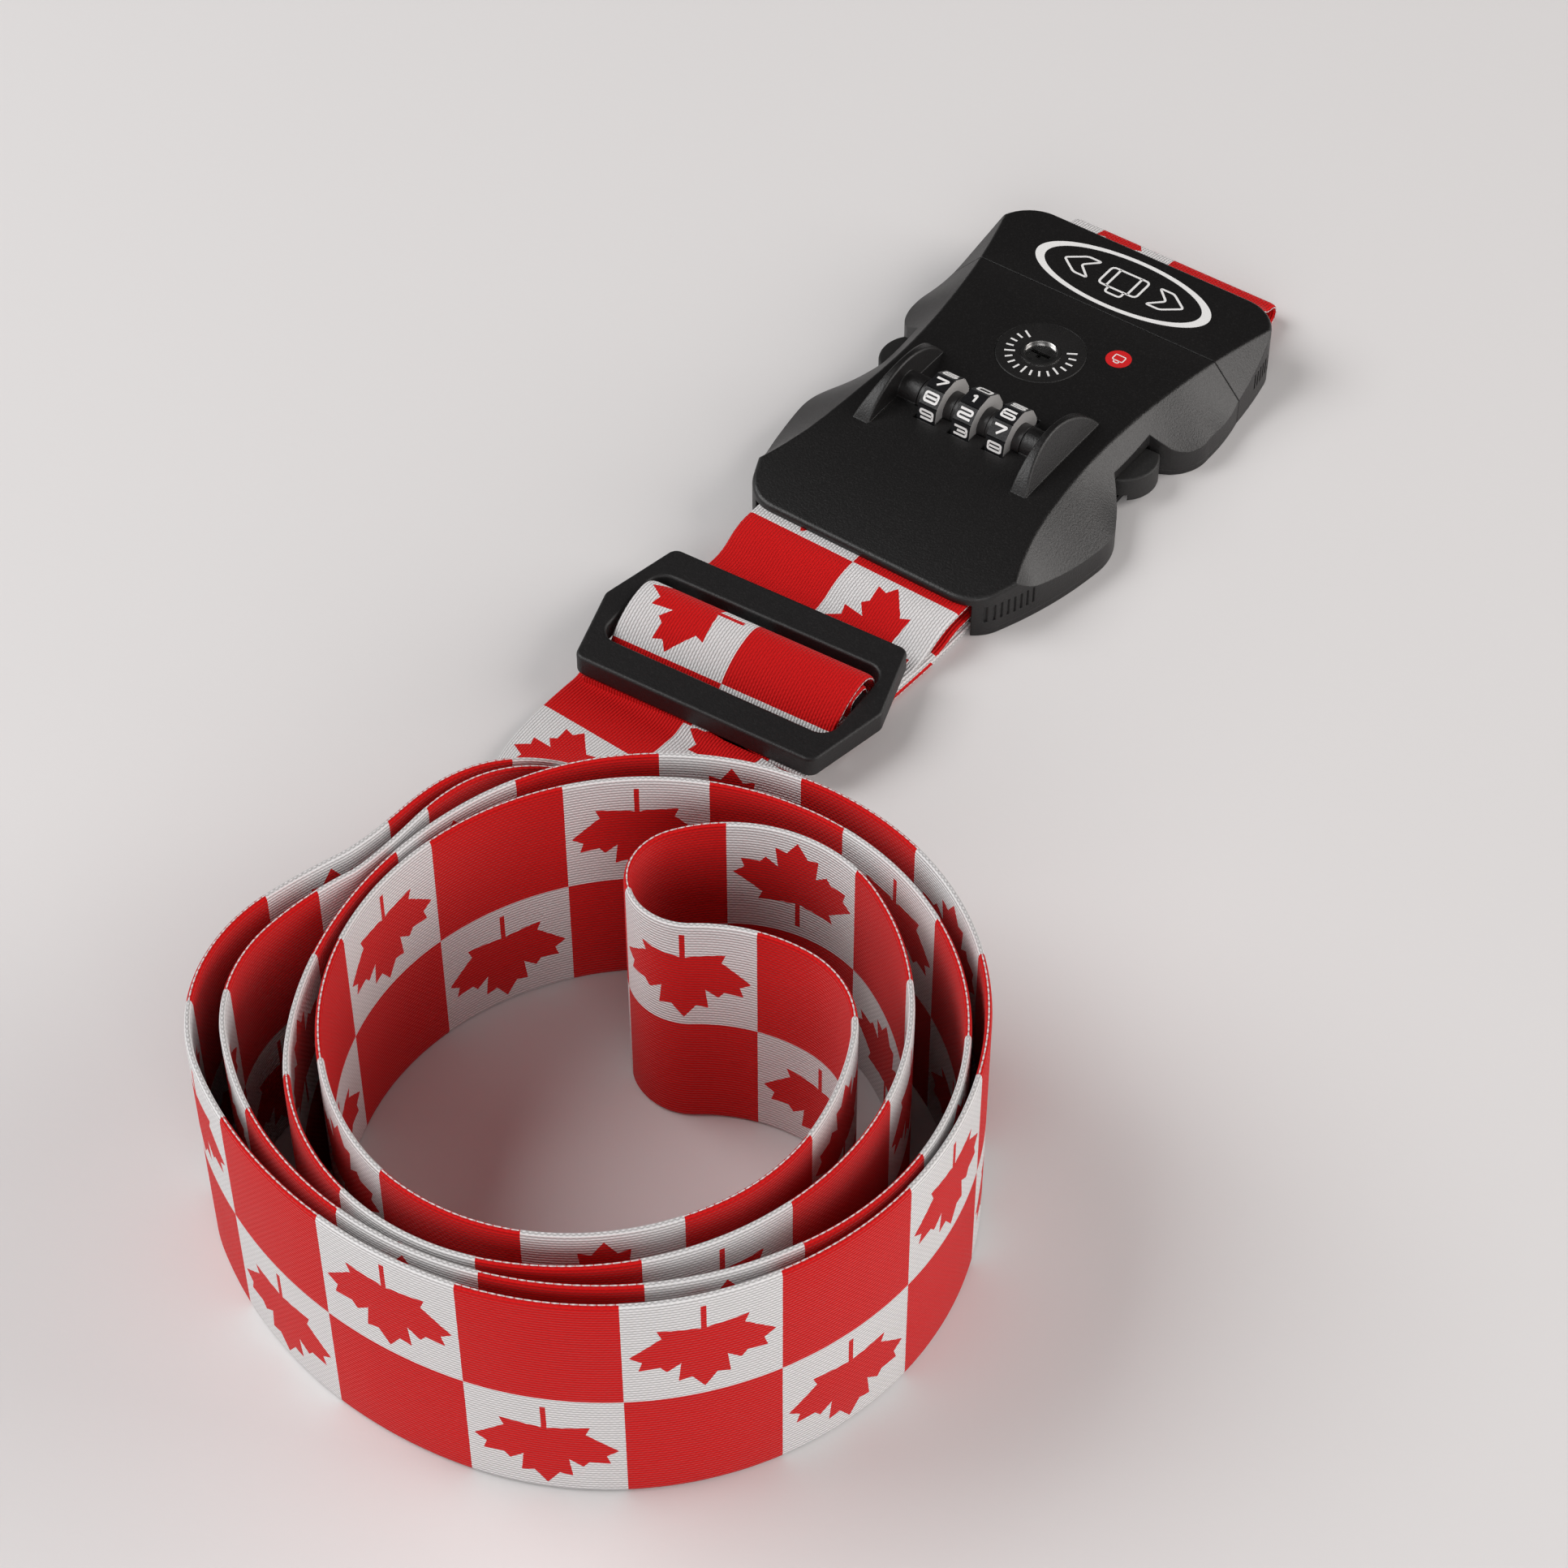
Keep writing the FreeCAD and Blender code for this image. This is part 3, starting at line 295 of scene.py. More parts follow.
def dial_material():
    """Glossy black facets with pale moulded ends."""
    n = Nodes("dial_gloss")
    normal = n.add("ShaderNodeNewGeometry").outputs["True Normal"]
    split = n.add("ShaderNodeSeparateXYZ")
    n.put(split.inputs[0], normal)
    end = n.maths("GREATER_THAN", n.maths("ABSOLUTE", split.outputs[0]), 0.7)
    speckle = n.noise(3000, 2)
    dark = n.mix(speckle, (0.007, 0.007, 0.008), (0.016, 0.016, 0.017))
    pale = n.mix(speckle, (0.30, 0.29, 0.285), (0.42, 0.41, 0.40))
    rough = n.blend(end, 0.17, 0.5)
    return n.set(Base_Color=n.mix(end, dark, pale), Roughness=rough, Normal=n.bump(speckle, 0.00001))


def metal(name, colour, roughness, stretch=(1, 1, 1), depth=0.00001):
    """Metal with fine directional marks."""
    n = Nodes(name)
    scale = n.add("ShaderNodeMapping")
    n.put(scale.inputs["Vector"], n.place())
    scale.inputs["Scale"].default_value = stretch
    marks = n.noise(2600, 4, 0.6, scale.outputs[0])
    tone = n.mix(marks, colour, tuple(c * 0.7 for c in colour))
    rough = n.maths("ADD", n.maths("MULTIPLY", marks, 0.14), roughness)
    return n.set(Base_Color=tone, Metallic=1.0, Roughness=rough, Normal=n.bump(marks, depth))


def key_material():
    """A bright rim round a darker worn face inside the key cylinder."""
    n = Nodes("key_chrome")
    split = n.add("ShaderNodeSeparateXYZ")
    n.put(split.inputs[0], n.place())
    rim = n.maths("GREATER_THAN", split.outputs[2], (TOP_Z + 0.1) * MM)
    marks = n.noise(420, 1, 0.5)
    worn = n.mix(marks, (0.10, 0.10, 0.10), (0.85, 0.84, 0.83))
    tone = n.mix(rim, worn, (0.80, 0.79, 0.78))
    rough = n.blend(rim, 0.24, 0.14)
    return n.set(Base_Color=tone, Metallic=1.0, Roughness=rough, Normal=n.bump(marks, 0.0001))


def ink(name, colour):
    """Printed ink: matt, slightly uneven."""
    n = Nodes(name)
    patchy = n.noise(1400, 3)
    tone = n.mix(n.maths("MULTIPLY", patchy, 0.3), colour, tuple(c * 0.78 for c in colour))
    return n.set(Base_Color=tone, Roughness=n.blend(patchy, 0.45, 0.6), Normal=n.bump(patchy, 0.000012))


def thread_material():
    """Red sewing thread, darker in the turns of its twist."""
    n = Nodes("sewing_thread")
    twist = n.noise(2600, 3, warp=1.5)
    tone = n.mix(twist, (0.50, 0.012, 0.014), (0.26, 0.004, 0.005))
    return n.set(Base_Color=tone, Roughness=0.7, Normal=n.bump(twist, 0.00005), Sheen_Weight=0.3)


def floor_material():
    """A plain pale floor with very slight clouding."""
    n = Nodes("studio_floor")
    cloud = n.noise(2.5, 3)
    fine = n.noise(700, 2)
    tone = n.mix(cloud, (0.72, 0.70, 0.698), (0.70, 0.682, 0.68))
    return n.set(Base_Color=tone, Roughness=0.75, Normal=n.bump(fine, 0.00002), Specular_IOR_Level=0.2)


# ---- mesh helpers ----
def new_object(name, bm, material):
    """A scene object of the drawn mesh in one material."""
    mesh = bpy.data.meshes.new(name)
    bmesh.ops.recalc_face_normals(bm, faces=bm.faces)
    bm.to_mesh(mesh)
    bm.free()
    obj = bpy.data.objects.new(name, mesh)
    bpy.context.scene.collection.objects.link(obj)
    obj.data.materials.append(material)
    return obj


def smooth(obj, angle):
    """Smooth shading, apart from edges sharper than the angle."""
    obj.data.shade_smooth()
    obj.data.set_sharp_from_angle(angle=math.radians(angle))


def skin(bm, rings, closed=False):
    """Faces from each ring of points to the next, with the two ends capped, or joined when closed."""
    count = len(rings[0])
    pairs = list(zip(rings, rings[1:]))
    if closed:
        pairs.append((rings[-1], rings[0]))
    else:
        bm.faces.new(rings[0])
        bm.faces.new(rings[-1][::-1])
    for a, b in pairs:
        for k in range(count):
            follow = (k + 1) % count
            bm.faces.new((a[k], a[follow], b[follow], b[k]))


def round_ring(bm, centre, side, up, radius, count=8):
    """A ring of points round a wire or thread."""
    turns = [2 * math.pi * k / count for k in range(count)]
    return [bm.verts.new((centre + (side * math.cos(t) + up * math.sin(t)) * radius) * MM) for t in turns]


def web_ring(serration):
    """The webbing's cross-section as (across, up) points, one way round; its selvedges thin to a rim."""
    half = WEB_THICK / 2
    edge = [(0.6, 0.84), (0.2, 0.5), (0.03 - serration, 0.16)]
    selvedge = [(WEB_HALF - inset, half * share) for inset, share in edge]
    flat_half = WEB_HALF - 1.2
    flat = [(x, half) for x in (-flat_half, -16, -8, 0, 8, 16, flat_half)]
    top = [(-x, y) for x, y in reversed(selvedge)] + flat + selvedge
    return top + [(-x, -y) for x, y in top]


class Strip:
    """A run of webbing: stations of (centre, across, up) with the length printed at each."""

    def __init__(self):
        self.stations = []

    def put(self, centre, across, up, length):
        self.stations.append((centre, across, up, length))

    def build(self, name, material):
        bm = bmesh.new()
        s_layer = bm.verts.layers.float.new("web_s")
        v_layer = bm.verts.layers.float.new("web_v")
        face_layer = bm.verts.layers.float.new("web_face")
        rings = []
        for k, (centre, across, up, length) in enumerate(self.stations):
            ring = []
            for x, y in web_ring(SERRATION if k % 2 else -SERRATION):
                vert = bm.verts.new((centre + across * x + up * y) * MM)
                vert[s_layer] = length
                vert[v_layer] = x
                vert[face_layer] = math.copysign(1.0, y)
                ring.append(vert)
            rings.append(ring)
        skin(bm, rings)
        obj = new_object(name, bm, material)
        smooth(obj, 50)
        return obj


def heading_vector(angle):
    """The level direction of a heading."""
    return Vector((math.cos(angle), math.sin(angle), 0))


def left_of(angle):
    """The level direction to the left of a heading."""
    return Vector((-math.sin(angle), math.cos(angle), 0))


def walk(start, heading, steps):
    """Points along a path of straights and round bends: (x, y, heading, length so far)."""
    x, y = start
    angle, total = math.radians(heading), 0.0
    points = []
    for length, turn in steps:
        swing = math.radians(turn)
        count = max(2, round(length / STATION_STEP))
        for k in range(count + 1):
            part = k / count
            chord = length * part if turn == 0 else 2 * length / swing * math.sin(swing * part / 2)
            middle = angle + swing * part / 2
            place = (x + chord * math.cos(middle), y + chord * math.sin(middle))
            if k < count:
                points.append((*place, angle + swing * part, total + length * part))
        x, y = place
        angle += swing
        total += length
    points.append((x, y, angle, total))
    return points


# ---- the wound part and its twists ----
def hermite(a, b, ta, tb, t):
    """A point on the smooth curve from a to b that leaves along ta and arrives along tb."""
    return (a * (2 * t**3 - 3 * t**2 + 1) + ta * (t**3 - 2 * t**2 + t) + b * (3 * t**2 - 2 * t**3)
            + tb * (t**3 - t**2))


def twist_stations(layer, beside_at_coil):
    """Stations of a strand that turns from flat to upright, flat end first; as in the CAD."""
    count = 150
    first, last = SKEW - math.pi / 2, math.radians(COIL_HEADING)
    run = PIVOT_Y - TWIST_START_Y
    start = Vector((run * math.cos(first), PIVOT_Y + run * math.sin(first), 0))
    stations = []
    for n in range(count + 1):
        t = n / count
        place = hermite(start, Vector((*COIL_START, 0)), heading_vector(first) * TWIST_REACH[0],
                        heading_vector(last) * TWIST_REACH[1], t)
        heading = first + (last - first) * t**3
        u = min(1.0, t / 0.8)
        lean = math.pi / 2 * (6 * u**5 - 15 * u**4 + 10 * u**3)
        left = left_of(heading)
        across = left * math.cos(lean) + Vector((0, 0, math.sin(lean)))
        up = Vector((0, 0, math.cos(lean))) - left * math.sin(lean)
        beside = left * (beside_at_coil * t * t + (1 - t * t) * (1 - layer) * LAYER)
        rest = WEB_HALF * math.sin(lean) + (layer * LAYER + LAID) * math.cos(lean)
        stations.append((place + Vector((0, 0, rest)) + beside * math.sin(lean), across, up))
    return stations


def lengths(points, start, sign=1.0):
    """Running length at each point."""
    out = [start]
    for a, b in zip(points, points[1:]):
        out.append(out[-1] + sign * (b - a).length)
    return out


def wound_webbing():
    """The strip from the upper twist round the coil to the lower one, and the lengths at its ends."""
    strip = Strip()
    coil = walk(COIL_START, COIL_HEADING, COIL_STEPS)
    twist = twist_stations(1, 0.0)
    printed = lengths([s[0] for s in reversed(twist)], COIL_PRINT, -1.0)
    for (centre, across, up), length in list(zip(twist, reversed(printed)))[:-1]:
        strip.put(centre, across, up, length)
    for x, y, angle, length in coil:
        strip.put(Vector((x, y, WEB_HALF)), Vector((0, 0, 1)), -left_of(angle), length + COIL_PRINT)
    end = Vector((coil[-1][0], coil[-1][1], 0))
    gap = (end - Vector((*COIL_START, 0))).length
    back = twist_stations(0, gap)[::-1]
    printed = lengths([s[0] for s in back], coil[-1][3] + COIL_PRINT)
    for (centre, across, up), length in list(zip(back, printed))[1:]:
        strip.put(centre, across, -up, length)
    return strip, strip.stations[0][3], printed[-1]


# ---- the runs between the coil and the buckle ----
def plan_place(y):
    """The strap's centre and across direction in plan at distance y; it turns softly at the pivot."""
    t = min(1.0, max(0.0, (PIVOT_Y + SOFT_BEND - y) / (2 * SOFT_BEND)))
    if y < PIVOT_Y - SOFT_BEND:
        offset = math.sin(SKEW) * (PIVOT_Y - y)
    else:
        offset = math.sin(SKEW) * SOFT_BEND * t * t
    angle = SKEW * t
    across = Vector((math.cos(angle), math.sin(angle), 0))
    return Vector((offset, y, 0)), across


def profile_strip(strip, start, heading, steps, length, in_plan, sign=1.0):
    """Adds a run drawn in the Y-Z plane; in_plan gives the centre and directions at a distance y."""
    for y, z, angle, so_far in walk(start, heading, steps):
        centre, across, forward = in_plan(y)
        up = Vector((0, 0, math.cos(angle))) - forward * math.sin(angle)
        strip.put(Vector((centre.x, centre.y, z)), across, up, length + sign * so_far)


def strap_plan(y):
    """Centre, across and forward directions of a run that lies along the strap."""
    centre, across = plan_place(y)
    return centre, across, Vector((-across.y, across.x, 0))


def slider_plan(y):
    """The same for webbing that lies straight across the turned slider."""
    forward = Vector((-math.sin(SLIDER_YAW), math.cos(SLIDER_YAW), 0))
    across = Vector((math.cos(SLIDER_YAW), math.sin(SLIDER_YAW), 0))
    return Vector((SLIDER_X, SLIDER_Y, 0)) + forward * y, across, forward


def rear_plan(y):
    """The same for the rear loop, which lies straight behind the buckle."""
    return Vector((0, y, 0)), Vector((1, 0, 0)), Vector((0, 1, 0))


def bend(radius, turn):
    """A round bend as a step of walk()."""
    return (radius * math.radians(abs(turn)), turn)


def ramp(rise, radius):
    """The two bends that climb or drop by rise, and the distance that they cover."""
    angle = math.acos(1 - abs(rise) / (2 * radius))
    turn = math.copysign(math.degrees(angle), rise)
    return [(radius * angle, turn), (radius * angle, -turn)], 2 * radius * math.sin(angle)


def build_coil(material):
    """The coil with both twists; returns the lengths printed at its upper and lower ends."""
    coil, upper_end, lower_end = wound_webbing()
    obj = coil.build("webbing_coil", material)
    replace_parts(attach(obj, "lock_body"), "strap_coil", "upper_twist", "lower_twist")
    return upper_end, lower_end


def build_under_run(material, printed):
    """The lowest strand, from the twist to the sewn end under the buckle's male half."""
    strip = Strip()
    sewn_end = 33.2
    count = round((sewn_end - TWIST_START_Y) / STATION_STEP)
    for k in range(count + 1):
        so_far = (sewn_end - TWIST_START_Y) * k / count
        centre, across = plan_place(TWIST_START_Y + so_far)
        strip.put(centre + Vector((0, 0, LAID)), across, Vector((0, 0, 1)), printed + so_far)
    obj = strip.build("webbing_under_run", material)
    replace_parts(obj, "lower_run")
    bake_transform(obj)


def build_side_run(material, printed):
    """The short strand beside the coil, from the twist up to the slider's front."""
    strip = Strip()
    low = LAYER + LAID
    climb, _ = ramp(SLIDER_LAYER - low, 5.0)
    profile_strip(strip, (TWIST_START_Y, low), 0, [*climb, (1.0, 0)], printed, strap_plan, -1.0)
    obj = strip.build("webbing_beside_coil", material)
    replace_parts(obj, "coil_side_run")
    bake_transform(obj)


def build_hump(material):
    """The strand's hump over the slider's bar."""
    strip = Strip()
    rise, foot, back, brow, toe, fall = 10.3 - SLIDER_LAYER, 2.0, 13.5, 4.6, 1.6, 75.0
    climb = math.degrees(math.acos(1 - rise / (foot + back)))
    straight = (rise - (brow + toe) * (1 - math.cos(math.radians(fall)))) / math.sin(math.radians(fall))
    over = [bend(foot, climb), bend(back, -climb), bend(brow, -fall), (straight, 0), bend(toe, fall)]
    path = [(8.0, 0), *over, (0.4, 0)]
    profile_strip(strip, (-17.7, SLIDER_LAYER), 0, path, HUMP_PRINT, slider_plan)
    obj = strip.build("webbing_hump", material)
    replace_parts(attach(obj, "adjuster"), "slider_webbing")


def build_upper_run(material):
    """The strand from the slider up into the buckle's mouth and round its bar."""
    strip = Strip()
    start, high = -75.0, BAR_Z + WRAP
    climb, covered = ramp(high - SLIDER_LAYER, 12.0)
    level = FRONT_BAR_Y - 2.1 - 8.0 - covered - start
    path = [(level, 0), *climb, (10.1, 0), bend(WRAP, -180), (2.0, 0)]
    profile_strip(strip, (start, SLIDER_LAYER), 0, path, UPPER_PRINT, strap_plan)
    obj = strip.build("webbing_upper_run", material)
    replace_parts(obj, "upper_run")
    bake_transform(obj)


def build_return_run(material):
    """The strand from the underside of the buckle's bar back to the slider."""
    strip = Strip()
    start, low = -93.0, LAYER + LAID
    climb, covered = ramp(BAR_Z - WRAP - low, 9.0)
    level = FRONT_BAR_Y - start - covered - 8.2
    profile_strip(strip, (start, low), 0, [(level, 0), *climb, (6.0, 0)], RETURN_PRINT, strap_plan)
    obj = strip.build("webbing_return_run", material)
    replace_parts(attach(obj, "lock_body"), "adjuster_loop")


def build_sewn_tab(material):
    """The strap's end, folded round the slider's bar and sewn."""
    strip = Strip()
    corner = bend(1.5, 90)
    loop = [(2.7, 0), corner, (1.2, 0), corner, (2.7, 0), corner, (1.2, 0), bend(1.5, 88)]
    profile_strip(strip, (0.65, 4.25), 0, loop, TAB_PRINT, slider_plan)
    obj = strip.build("webbing_sewn_tab", material)
    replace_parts(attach(obj, "adjuster"), "sewn_tab")


def build_rear_loop(material):
    """The strap's other end, out behind the buckle, back round the rear bar and sewn."""
    strip = Strip()
    start, turn, centre_y = 33.5, 2.2, 62.2
    climb, covered = ramp(BAR_Z + WRAP - LAID - 2 * turn, 4.0)
    drop = [(length, -angle) for length, angle in climb]
    back_to_bar = centre_y - REAR_BAR_Y - covered
    path = [(centre_y - start, 0), bend(turn, 180), *drop, (back_to_bar, 0), bend(WRAP, 180), (7.5, 0)]
    profile_strip(strip, (start, LAID), 0, path, REAR_PRINT, rear_plan)
    obj = strip.build("webbing_rear_loop", material)
    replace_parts(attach(obj, "male_half"), "rear_loop")


def build_webbing():
    """Every run of the strap, all in one printed material."""
    material = webbing_material()
    upper_end, lower_end = build_coil(material)
    build_under_run(material, lower_end)
    build_side_run(material, upper_end)
    build_hump(material)
    build_upper_run(material)
    build_return_run(material)
    build_sewn_tab(material)
    build_rear_loop(material)


# ---- printed and moulded marks ----
def rounded(corners, radius, closed=False):
    """A line through the corners with each corner rounded off."""
    points = []
    count = len(corners)
    for k, corner in enumerate(corners):
        here = Vector(corner)
        if not closed and k in (0, count - 1):
            points.append(here)
            continue
        before = Vector(corners[k - 1]) - here
        after = Vector(corners[(k + 1) % count]) - here
        cut = min(radius, before.length / 2.05, after.length / 2.05)
        a, b = here + before.normalized() * cut, here + after.normalized() * cut
        for step in range(5):
            t = step / 4
            points.append(a * (1 - t)**2 + here * 2 * t * (1 - t) + b * t * t)
    return points


def round_line(radius_x, radius_y, count=48):
    """Points round an ellipse."""
    turns = [2 * math.pi * k / count for k in range(count)]
    return [Vector((radius_x * math.cos(t), radius_y * math.sin(t))) for t in turns]


def band(bm, left, right, place, low, high, closed):
    """A flat solid between two lines; place turns (x, y, height) into model space."""
    rings = []
    for a, b in zip(left, right):
        corners = ((a, low), (b, low), (b, high), (a, high))
        rings.append([bm.verts.new(place(p.x, p.y, z) * MM) for p, z in corners])
    skin(bm, rings, closed)


def stroke(bm, points, width, place, low, high, closed=False):
    """A flat stroke of even width along a line."""
    count = len(points)
    left, right = [], []
    for k, point in enumerate(points):
        before = points[k - 1] if closed or k else point
        after = points[(k + 1) % count] if closed or k < count - 1 else point
        along = (after - before).normalized()
        side = Vector((-along.y, along.x)) * width / 2
        left.append(point + side)
        right.append(point - side)
    band(bm, left, right, place, low, high, closed)


def disc(bm, radius, place, low, high):
    """A flat round plate."""
    outline = round_line(radius, radius)
    skin(bm, [[bm.verts.new(place(p.x, p.y, z) * MM) for p in outline] for z in (low, high)])


def numeral_lines(digit):
    """The strokes of a numeral in a box one wide and one high: (corners, closed)."""
    frame_line = ([(0, 0), (1, 0), (1, 1), (0, 1)], True)
    shapes = {
        0: [frame_line],
        1: [([(0.3, 0.75), (0.55, 1), (0.55, 0)], False)],
        2: [([(0, 1), (1, 1), (1, 0.5), (0, 0.5), (0, 0), (1, 0)], False)],
        3: [([(0, 1), (1, 1), (1, 0), (0, 0)], False), ([(0.25, 0.5), (1, 0.5)], False)],
        4: [([(0.75, 0), (0.75, 1), (0, 0.35), (1, 0.35)], False)],
        5: [([(1, 1), (0, 1), (0, 0.52), (1, 0.52), (1, 0), (0, 0)], False)],
        6: [([(0.95, 1), (0, 1), (0, 0), (1, 0), (1, 0.5), (0, 0.5)], False)],
        7: [([(0, 1), (1, 1), (0.35, 0)], False)],
        8: [frame_line, ([(0, 0.5), (1, 0.5)], False)],
        9: [([(0.05, 0), (1, 0), (1, 1), (0, 1), (0, 0.5), (1, 0.5)], False)],
    }
    return shapes[digit]


def facet_place(x, angle):
    """Places a drawing on a dial facet: across it along X, and upwards towards the rear."""
    out = Vector((0, math.cos(angle), math.sin(angle)))
    upward = Vector((0, math.sin(angle), -math.cos(angle)))
    middle = Vector((x, DIAL_Y, TOP_Z))

    def place(across, up, height):
        return middle + Vector((across, 0, 0)) + upward * up + out * (FACET_REACH + height)

    return place


def build_numerals(material):
    """Ten raised numerals round each dial, in order towards the front."""
    wide, high, line = 2.9, 1.8, 0.5
    for dial, body, first in ((-1, "dial_one", 5), (0, "dial_two", 9), (1, "dial_three", 4)):
        bm = bmesh.new()
        for k in range(DIAL_SIDES):
            angle = (k + 0.75) * 2 * math.pi / DIAL_SIDES
            place = facet_place(LOCK_X + dial * DIAL_PITCH, angle)
            for corners, closed in numeral_lines((first + k) % 10):
                sized = [((x - 0.5) * wide, (y - 0.5) * high) for x, y in corners]
                stroke(bm, rounded(sized, 0.4, closed), line, place, -0.05, 0.06, closed)
        obj = new_object(f"{body}_numerals", bm, material)
        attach(obj, body)


def flat_place(x, y, z):
    """Places a drawing on a level face, read from the rear of the buckle."""
    middle = Vector((x, y, z))

    def place(across, up, height):
        return middle + Vector((-across, -up, height))

    return place


def build_emblem(material):
    """A plain travel emblem: an oval ring round a suitcase with an arrow to each side."""
    bm = bmesh.new()
    place = flat_place(0.1, 42.0, TOP_Z)
    low, high, line = -0.05, 0.05, 0.5
    band(bm, round_line(21.0, 8.5, count=96), round_line(18.8, 7.55, count=96), place, low, high, True)
    case = rounded([(-4.6, -3.6), (4.6, -3.6), (4.6, 2.4), (-4.6, 2.4)], 1.1, True)
    stroke(bm, case, line, place, low, high, True)
    stroke(bm, rounded([(-1.9, 2.4), (-1.9, 4.2), (1.9, 4.2), (1.9, 2.4)], 0.8), line, place, low, high)
    for side in (-1, 1):
        stroke(bm, [Vector((side * 2.6, -3.6)), Vector((side * 2.6, 2.4))], line, place, low, high)
        arrow = [(7.2, -3.4), (10.6, -3.4), (14.6, -0.4), (10.6, 2.6), (7.2, 2.6), (10.4, -0.4)]
        arrow = rounded([(side * x, y) for x, y in arrow], 0.7, True)
        stroke(bm, arrow, line, place, low, high, True)
    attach(new_object("male_half_emblem", bm, material), "male_half")


def build_key_marks(material):
    """A scale of short strokes round the front of the keyhole."""
    bm = bmesh.new()
    place = flat_place(KEY_X, KEY_Y, PLATE_TOP)
    strokes = 17
    for k in range(strokes):
        angle = math.radians(-32 + 244 * k / (strokes - 1))
        out = Vector((math.cos(angle), math.sin(angle)))
        start = 5.9 if k % 4 else 5.3
        stroke(bm, [out * start, out * 7.5], 0.42, place, -0.05, 0.04)
    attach(new_object("keyhole_scale", bm, material), "lock_body")


def build_round_mark(white, red):
    """A plain red round with a simple white case pictogram beside the keyhole."""
    place = flat_place(12.4, 21.2, TOP_Z)
    bm = bmesh.new()
    disc(bm, 2.7, place, -0.05, 0.03)
    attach(new_object("round_mark_field", bm, red), "lock_body")
    bm = bmesh.new()
    case = rounded([(-1.2, -1.1), (1.2, -1.1), (1.2, 0.6), (-1.2, 0.6)], 0.35, True)
    stroke(bm, case, 0.24, place, 0.0, 0.06, True)
    stroke(bm, rounded([(-0.55, 0.6), (-0.55, 1.3), (0.55, 1.3), (0.55, 0.6)], 0.3), 0.24, place, 0.0, 0.06)
    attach(new_object("round_mark_case", bm, white), "lock_body")


# ---- stitching ----
def stitch(bm, start, end, out):
    """One stitch: a short thread that dives into the webbing at both ends."""
    along = end - start
    side = along.cross(out).normalized()
    # share of the stitch's length, height above the webbing and thread radius
    profile = ((0, -0.14, 0.14), (0.2, 0.0, 0.19), (0.5, 0.03, 0.2), (0.8, 0.0, 0.19), (1, -0.14, 0.14))
    centres = [start + along * share + out * rise for share, rise, _ in profile]
    skin(bm, [round_ring(bm, c, side, out, radius) for c, (_, _, radius) in zip(centres, profile)])


def stitch_row(bm, place, y, z):
    """A row of stitches across the underside of the webbing at distance y along its run."""
    half, pitch, thread_share = 23.5, 2.6, 0.78
    centre, across, _ = place(y)
    for k in range(int(2 * half / pitch)):
        left = centre + across * (-half + k * pitch) + Vector((0, 0, z))
        stitch(bm, left, left + across * pitch * thread_share, Vector((0, 0, -1)))


def build_stitching():
    """The rows of stitches that close the two sewn ends."""
    thread = thread_material()
    for name, body, place, rows, z in (
            ("rear_loop_stitching", "male_half", rear_plan, (35.5, 38.5, 41.5), 0.06),
            ("slider_tab_stitching", "adjuster", slider_plan, (-2.2, 2.2), 2.75)):
        bm = bmesh.new()
        for y in rows:
            stitch_row(bm, place, y, z)
        obj = new_object(name, bm, thread)
        smooth(obj, 60)
        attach(obj, body)


# ---- the bolt's return spring ----
def build_return_spring(material):
    """A wound wire along Y."""
    radius, wire, length, turns, around = 1.1, 0.16, 7.5, 8, 20
    axis = Vector((LOCK_X + 9.8, 5.25, 6.9))
    bm = bmesh.new()
    rings = []
    for k in range(turns * around + 1):
        turn = 2 * math.pi * k / around
        out = Vector((math.cos(turn), 0, math.sin(turn)))
        centre = axis + out * radius + Vector((0, length * k / (turns * around), 0))
        rings.append(round_ring(bm, centre, out, Vector((0, 1, 0)), wire))
    skin(bm, rings)
    obj = new_object("bolt_return_spring", bm, material)
    smooth(obj, 60)
    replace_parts(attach(obj, "lock_body"), "bolt_spring")
    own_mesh(obj)


# ---- studio ----
def area_light(name, place, target, size, power, colour=(1, 1, 1)):
    """A soft rectangular light aimed at a target."""
    data = bpy.data.lights.new(name, "AREA")
    data.shape = "RECTANGLE"
    data.size, data.size_y = size
    data.energy = power
    data.color = colour
    obj = bpy.data.objects.new(name, data)
    bpy.context.scene.collection.objects.link(obj)
    obj.location = place
    obj.rotation_euler = (Vector(target) - Vector(place)).to_track_quat("-Z", "Y").to_euler()


def studio_world():
    """Even soft light, with a darker patch high behind the object that the level black faces reflect."""
    world = bpy.data.worlds.new("studio_light")
    bpy.context.scene.world = world
    world.use_nodes = True
    tree = world.node_tree
    place = tree.nodes.new("ShaderNodeTexCoord")
    toward = tree.nodes.new("ShaderNodeVectorMath")
    toward.operation = "DOT_PRODUCT"
    toward.inputs[1].default_value = (-0.40, 0.56, 0.73)
    tree.links.new(place.outputs["Generated"], toward.inputs[0])
    fade = tree.nodes.new("ShaderNodeMapRange")
    fade.interpolation_type = "SMOOTHSTEP"
    fade.inputs["From Min"].default_value = 0.2
    fade.inputs["From Max"].default_value = 0.85
    fade.inputs["To Min"].default_value = 0.37
    fade.inputs["To Max"].default_value = 0.02
    tree.links.new(toward.outputs["Value"], fade.inputs["Value"])
    seen = tree.nodes.new("ShaderNodeLightPath")
    backdrop = tree.nodes.new("ShaderNodeMix")
    backdrop.inputs[3].default_value = 0.74
    tree.links.new(seen.outputs["Is Camera Ray"], backdrop.inputs["Factor"])
    tree.links.new(fade.outputs["Result"], backdrop.inputs[2])
    background = tree.nodes["Background"]
    background.inputs["Color"].default_value = (1.0, 0.985, 0.98, 1)
    tree.links.new(backdrop.outputs[0], background.inputs["Strength"])


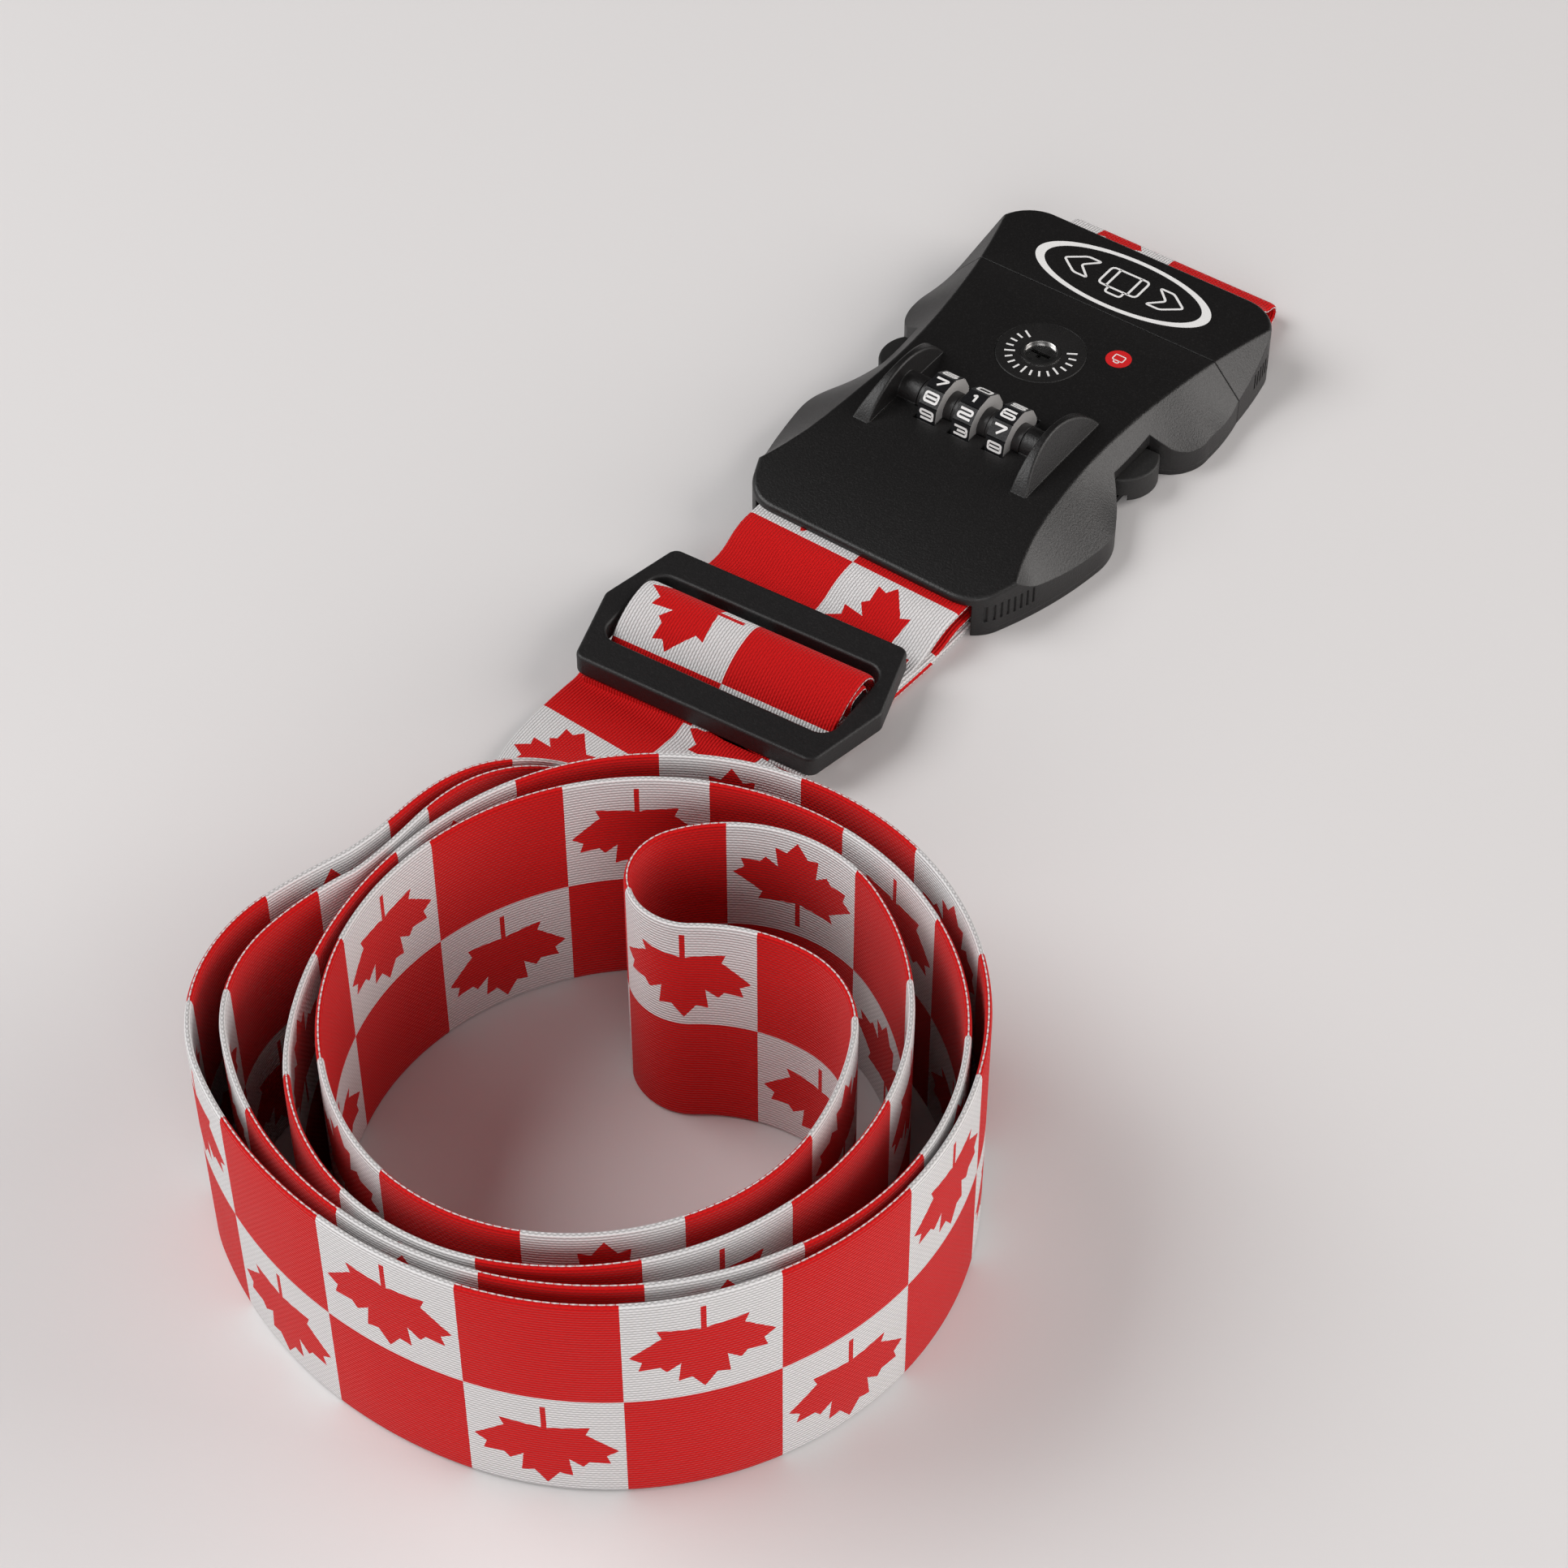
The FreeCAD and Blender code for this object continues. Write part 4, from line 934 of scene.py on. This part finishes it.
def studio_floor():
    """A wide level floor just under the object."""
    bm = bmesh.new()
    bmesh.ops.create_grid(bm, x_segments=8, y_segments=8, size=3.0)
    for vert in bm.verts:
        vert.co.z = -0.0001
    new_object("studio_floor", bm, floor_material())


def photo_camera():
    """The camera at the photograph's viewing angle."""
    azimuth, pitch = math.radians(36.0), math.radians(46.67)
    data = bpy.data.cameras.new("photo_camera")
    data.lens = 88.0
    data.sensor_width = 36.0
    data.clip_start = 0.01
    camera = bpy.data.objects.new("photo_camera", data)
    bpy.context.scene.collection.objects.link(camera)
    camera.location = (0.30967, -0.50409, 0.52260)
    level = math.cos(pitch)
    looking = Vector((-math.sin(azimuth) * level, math.cos(azimuth) * level, -math.sin(pitch)))
    camera.rotation_euler = looking.to_track_quat("-Z", "Y").to_euler()
    bpy.context.scene.camera = camera


def studio():
    """Floor, light, camera and plain colour handling."""
    studio_floor()
    studio_world()
    area_light("key_light", (-1.0, -0.6, 1.15), (0.03, -0.16, 0), (1.1, 1.1), 19)
    area_light("front_light", (0.75, -1.2, 0.6), (0.05, -0.2, 0.02), (1.2, 0.7), 8.5)
    area_light("side_light", (1.15, 0.85, 0.68), (0.0, -0.02, 0), (1.3, 1.0), 17, (1.0, 0.965, 0.94))
    photo_camera()
    bpy.context.scene.view_settings.view_transform = "Standard"
    bpy.context.scene.view_settings.look = "None"


def dress_cad():
    """Finishes for the CAD pieces that stay visible."""
    black = moulded("buckle_black", (0.0055, 0.0050, 0.0050))
    button = moulded("button_black", (0.010, 0.0095, 0.0093), 0.5)
    slider = moulded("slider_black", (0.0055, 0.0048, 0.0050), 0.42)
    sleeve = moulded("sleeve_black", (0.010, 0.0095, 0.0095), 0.3, 3000, 0.00001)
    finishes = {
        "lock_top_shell": black, "lock_bottom_cover": black, "male_cover": black, "male_base": black,
        "release_arm_right": button, "release_arm_left": button, "slider_frame": slider,
        "keyhole_plate": moulded("plate_black", (0.0065, 0.006, 0.006), 0.38),
        "key_cylinder": key_material(),
        "lock_bolt": metal("bolt_steel", (0.5, 0.5, 0.5), 0.3),
    }
    pin = metal("pin_steel", (0.62, 0.62, 0.61), 0.22, (1, 12, 12))
    screw = metal("screw_steel", (0.34, 0.34, 0.35), 0.32)
    spring = metal("spring_steel", (0.5, 0.5, 0.48), 0.28)
    for name in ("front_strap_bar", "rear_strap_bar", "dial_axle"):
        finishes[name] = pin
    for name in ("lock_screws", "male_screws"):
        finishes[name] = screw
    finishes["detent_spring"] = spring
    dial = dial_material()
    for n in (1, 2, 3):
        finishes[f"number_dial_{n}"] = dial
        finishes[f"dial_sleeve_{n}"] = sleeve
    for name, finish in finishes.items():
        obj = nodes[name]
        obj.data.materials.clear()
        obj.data.materials.append(finish)
    build_return_spring(spring)


dress_cad()
build_webbing()
white_ink = ink("white_ink", (0.80, 0.79, 0.78))
red_ink = ink("red_ink", (0.60, 0.010, 0.012))
build_numerals(white_ink)
build_emblem(white_ink)
build_key_marks(white_ink)
build_round_mark(white_ink, red_ink)
build_stitching()
studio()
bpy.context.view_layer.update()
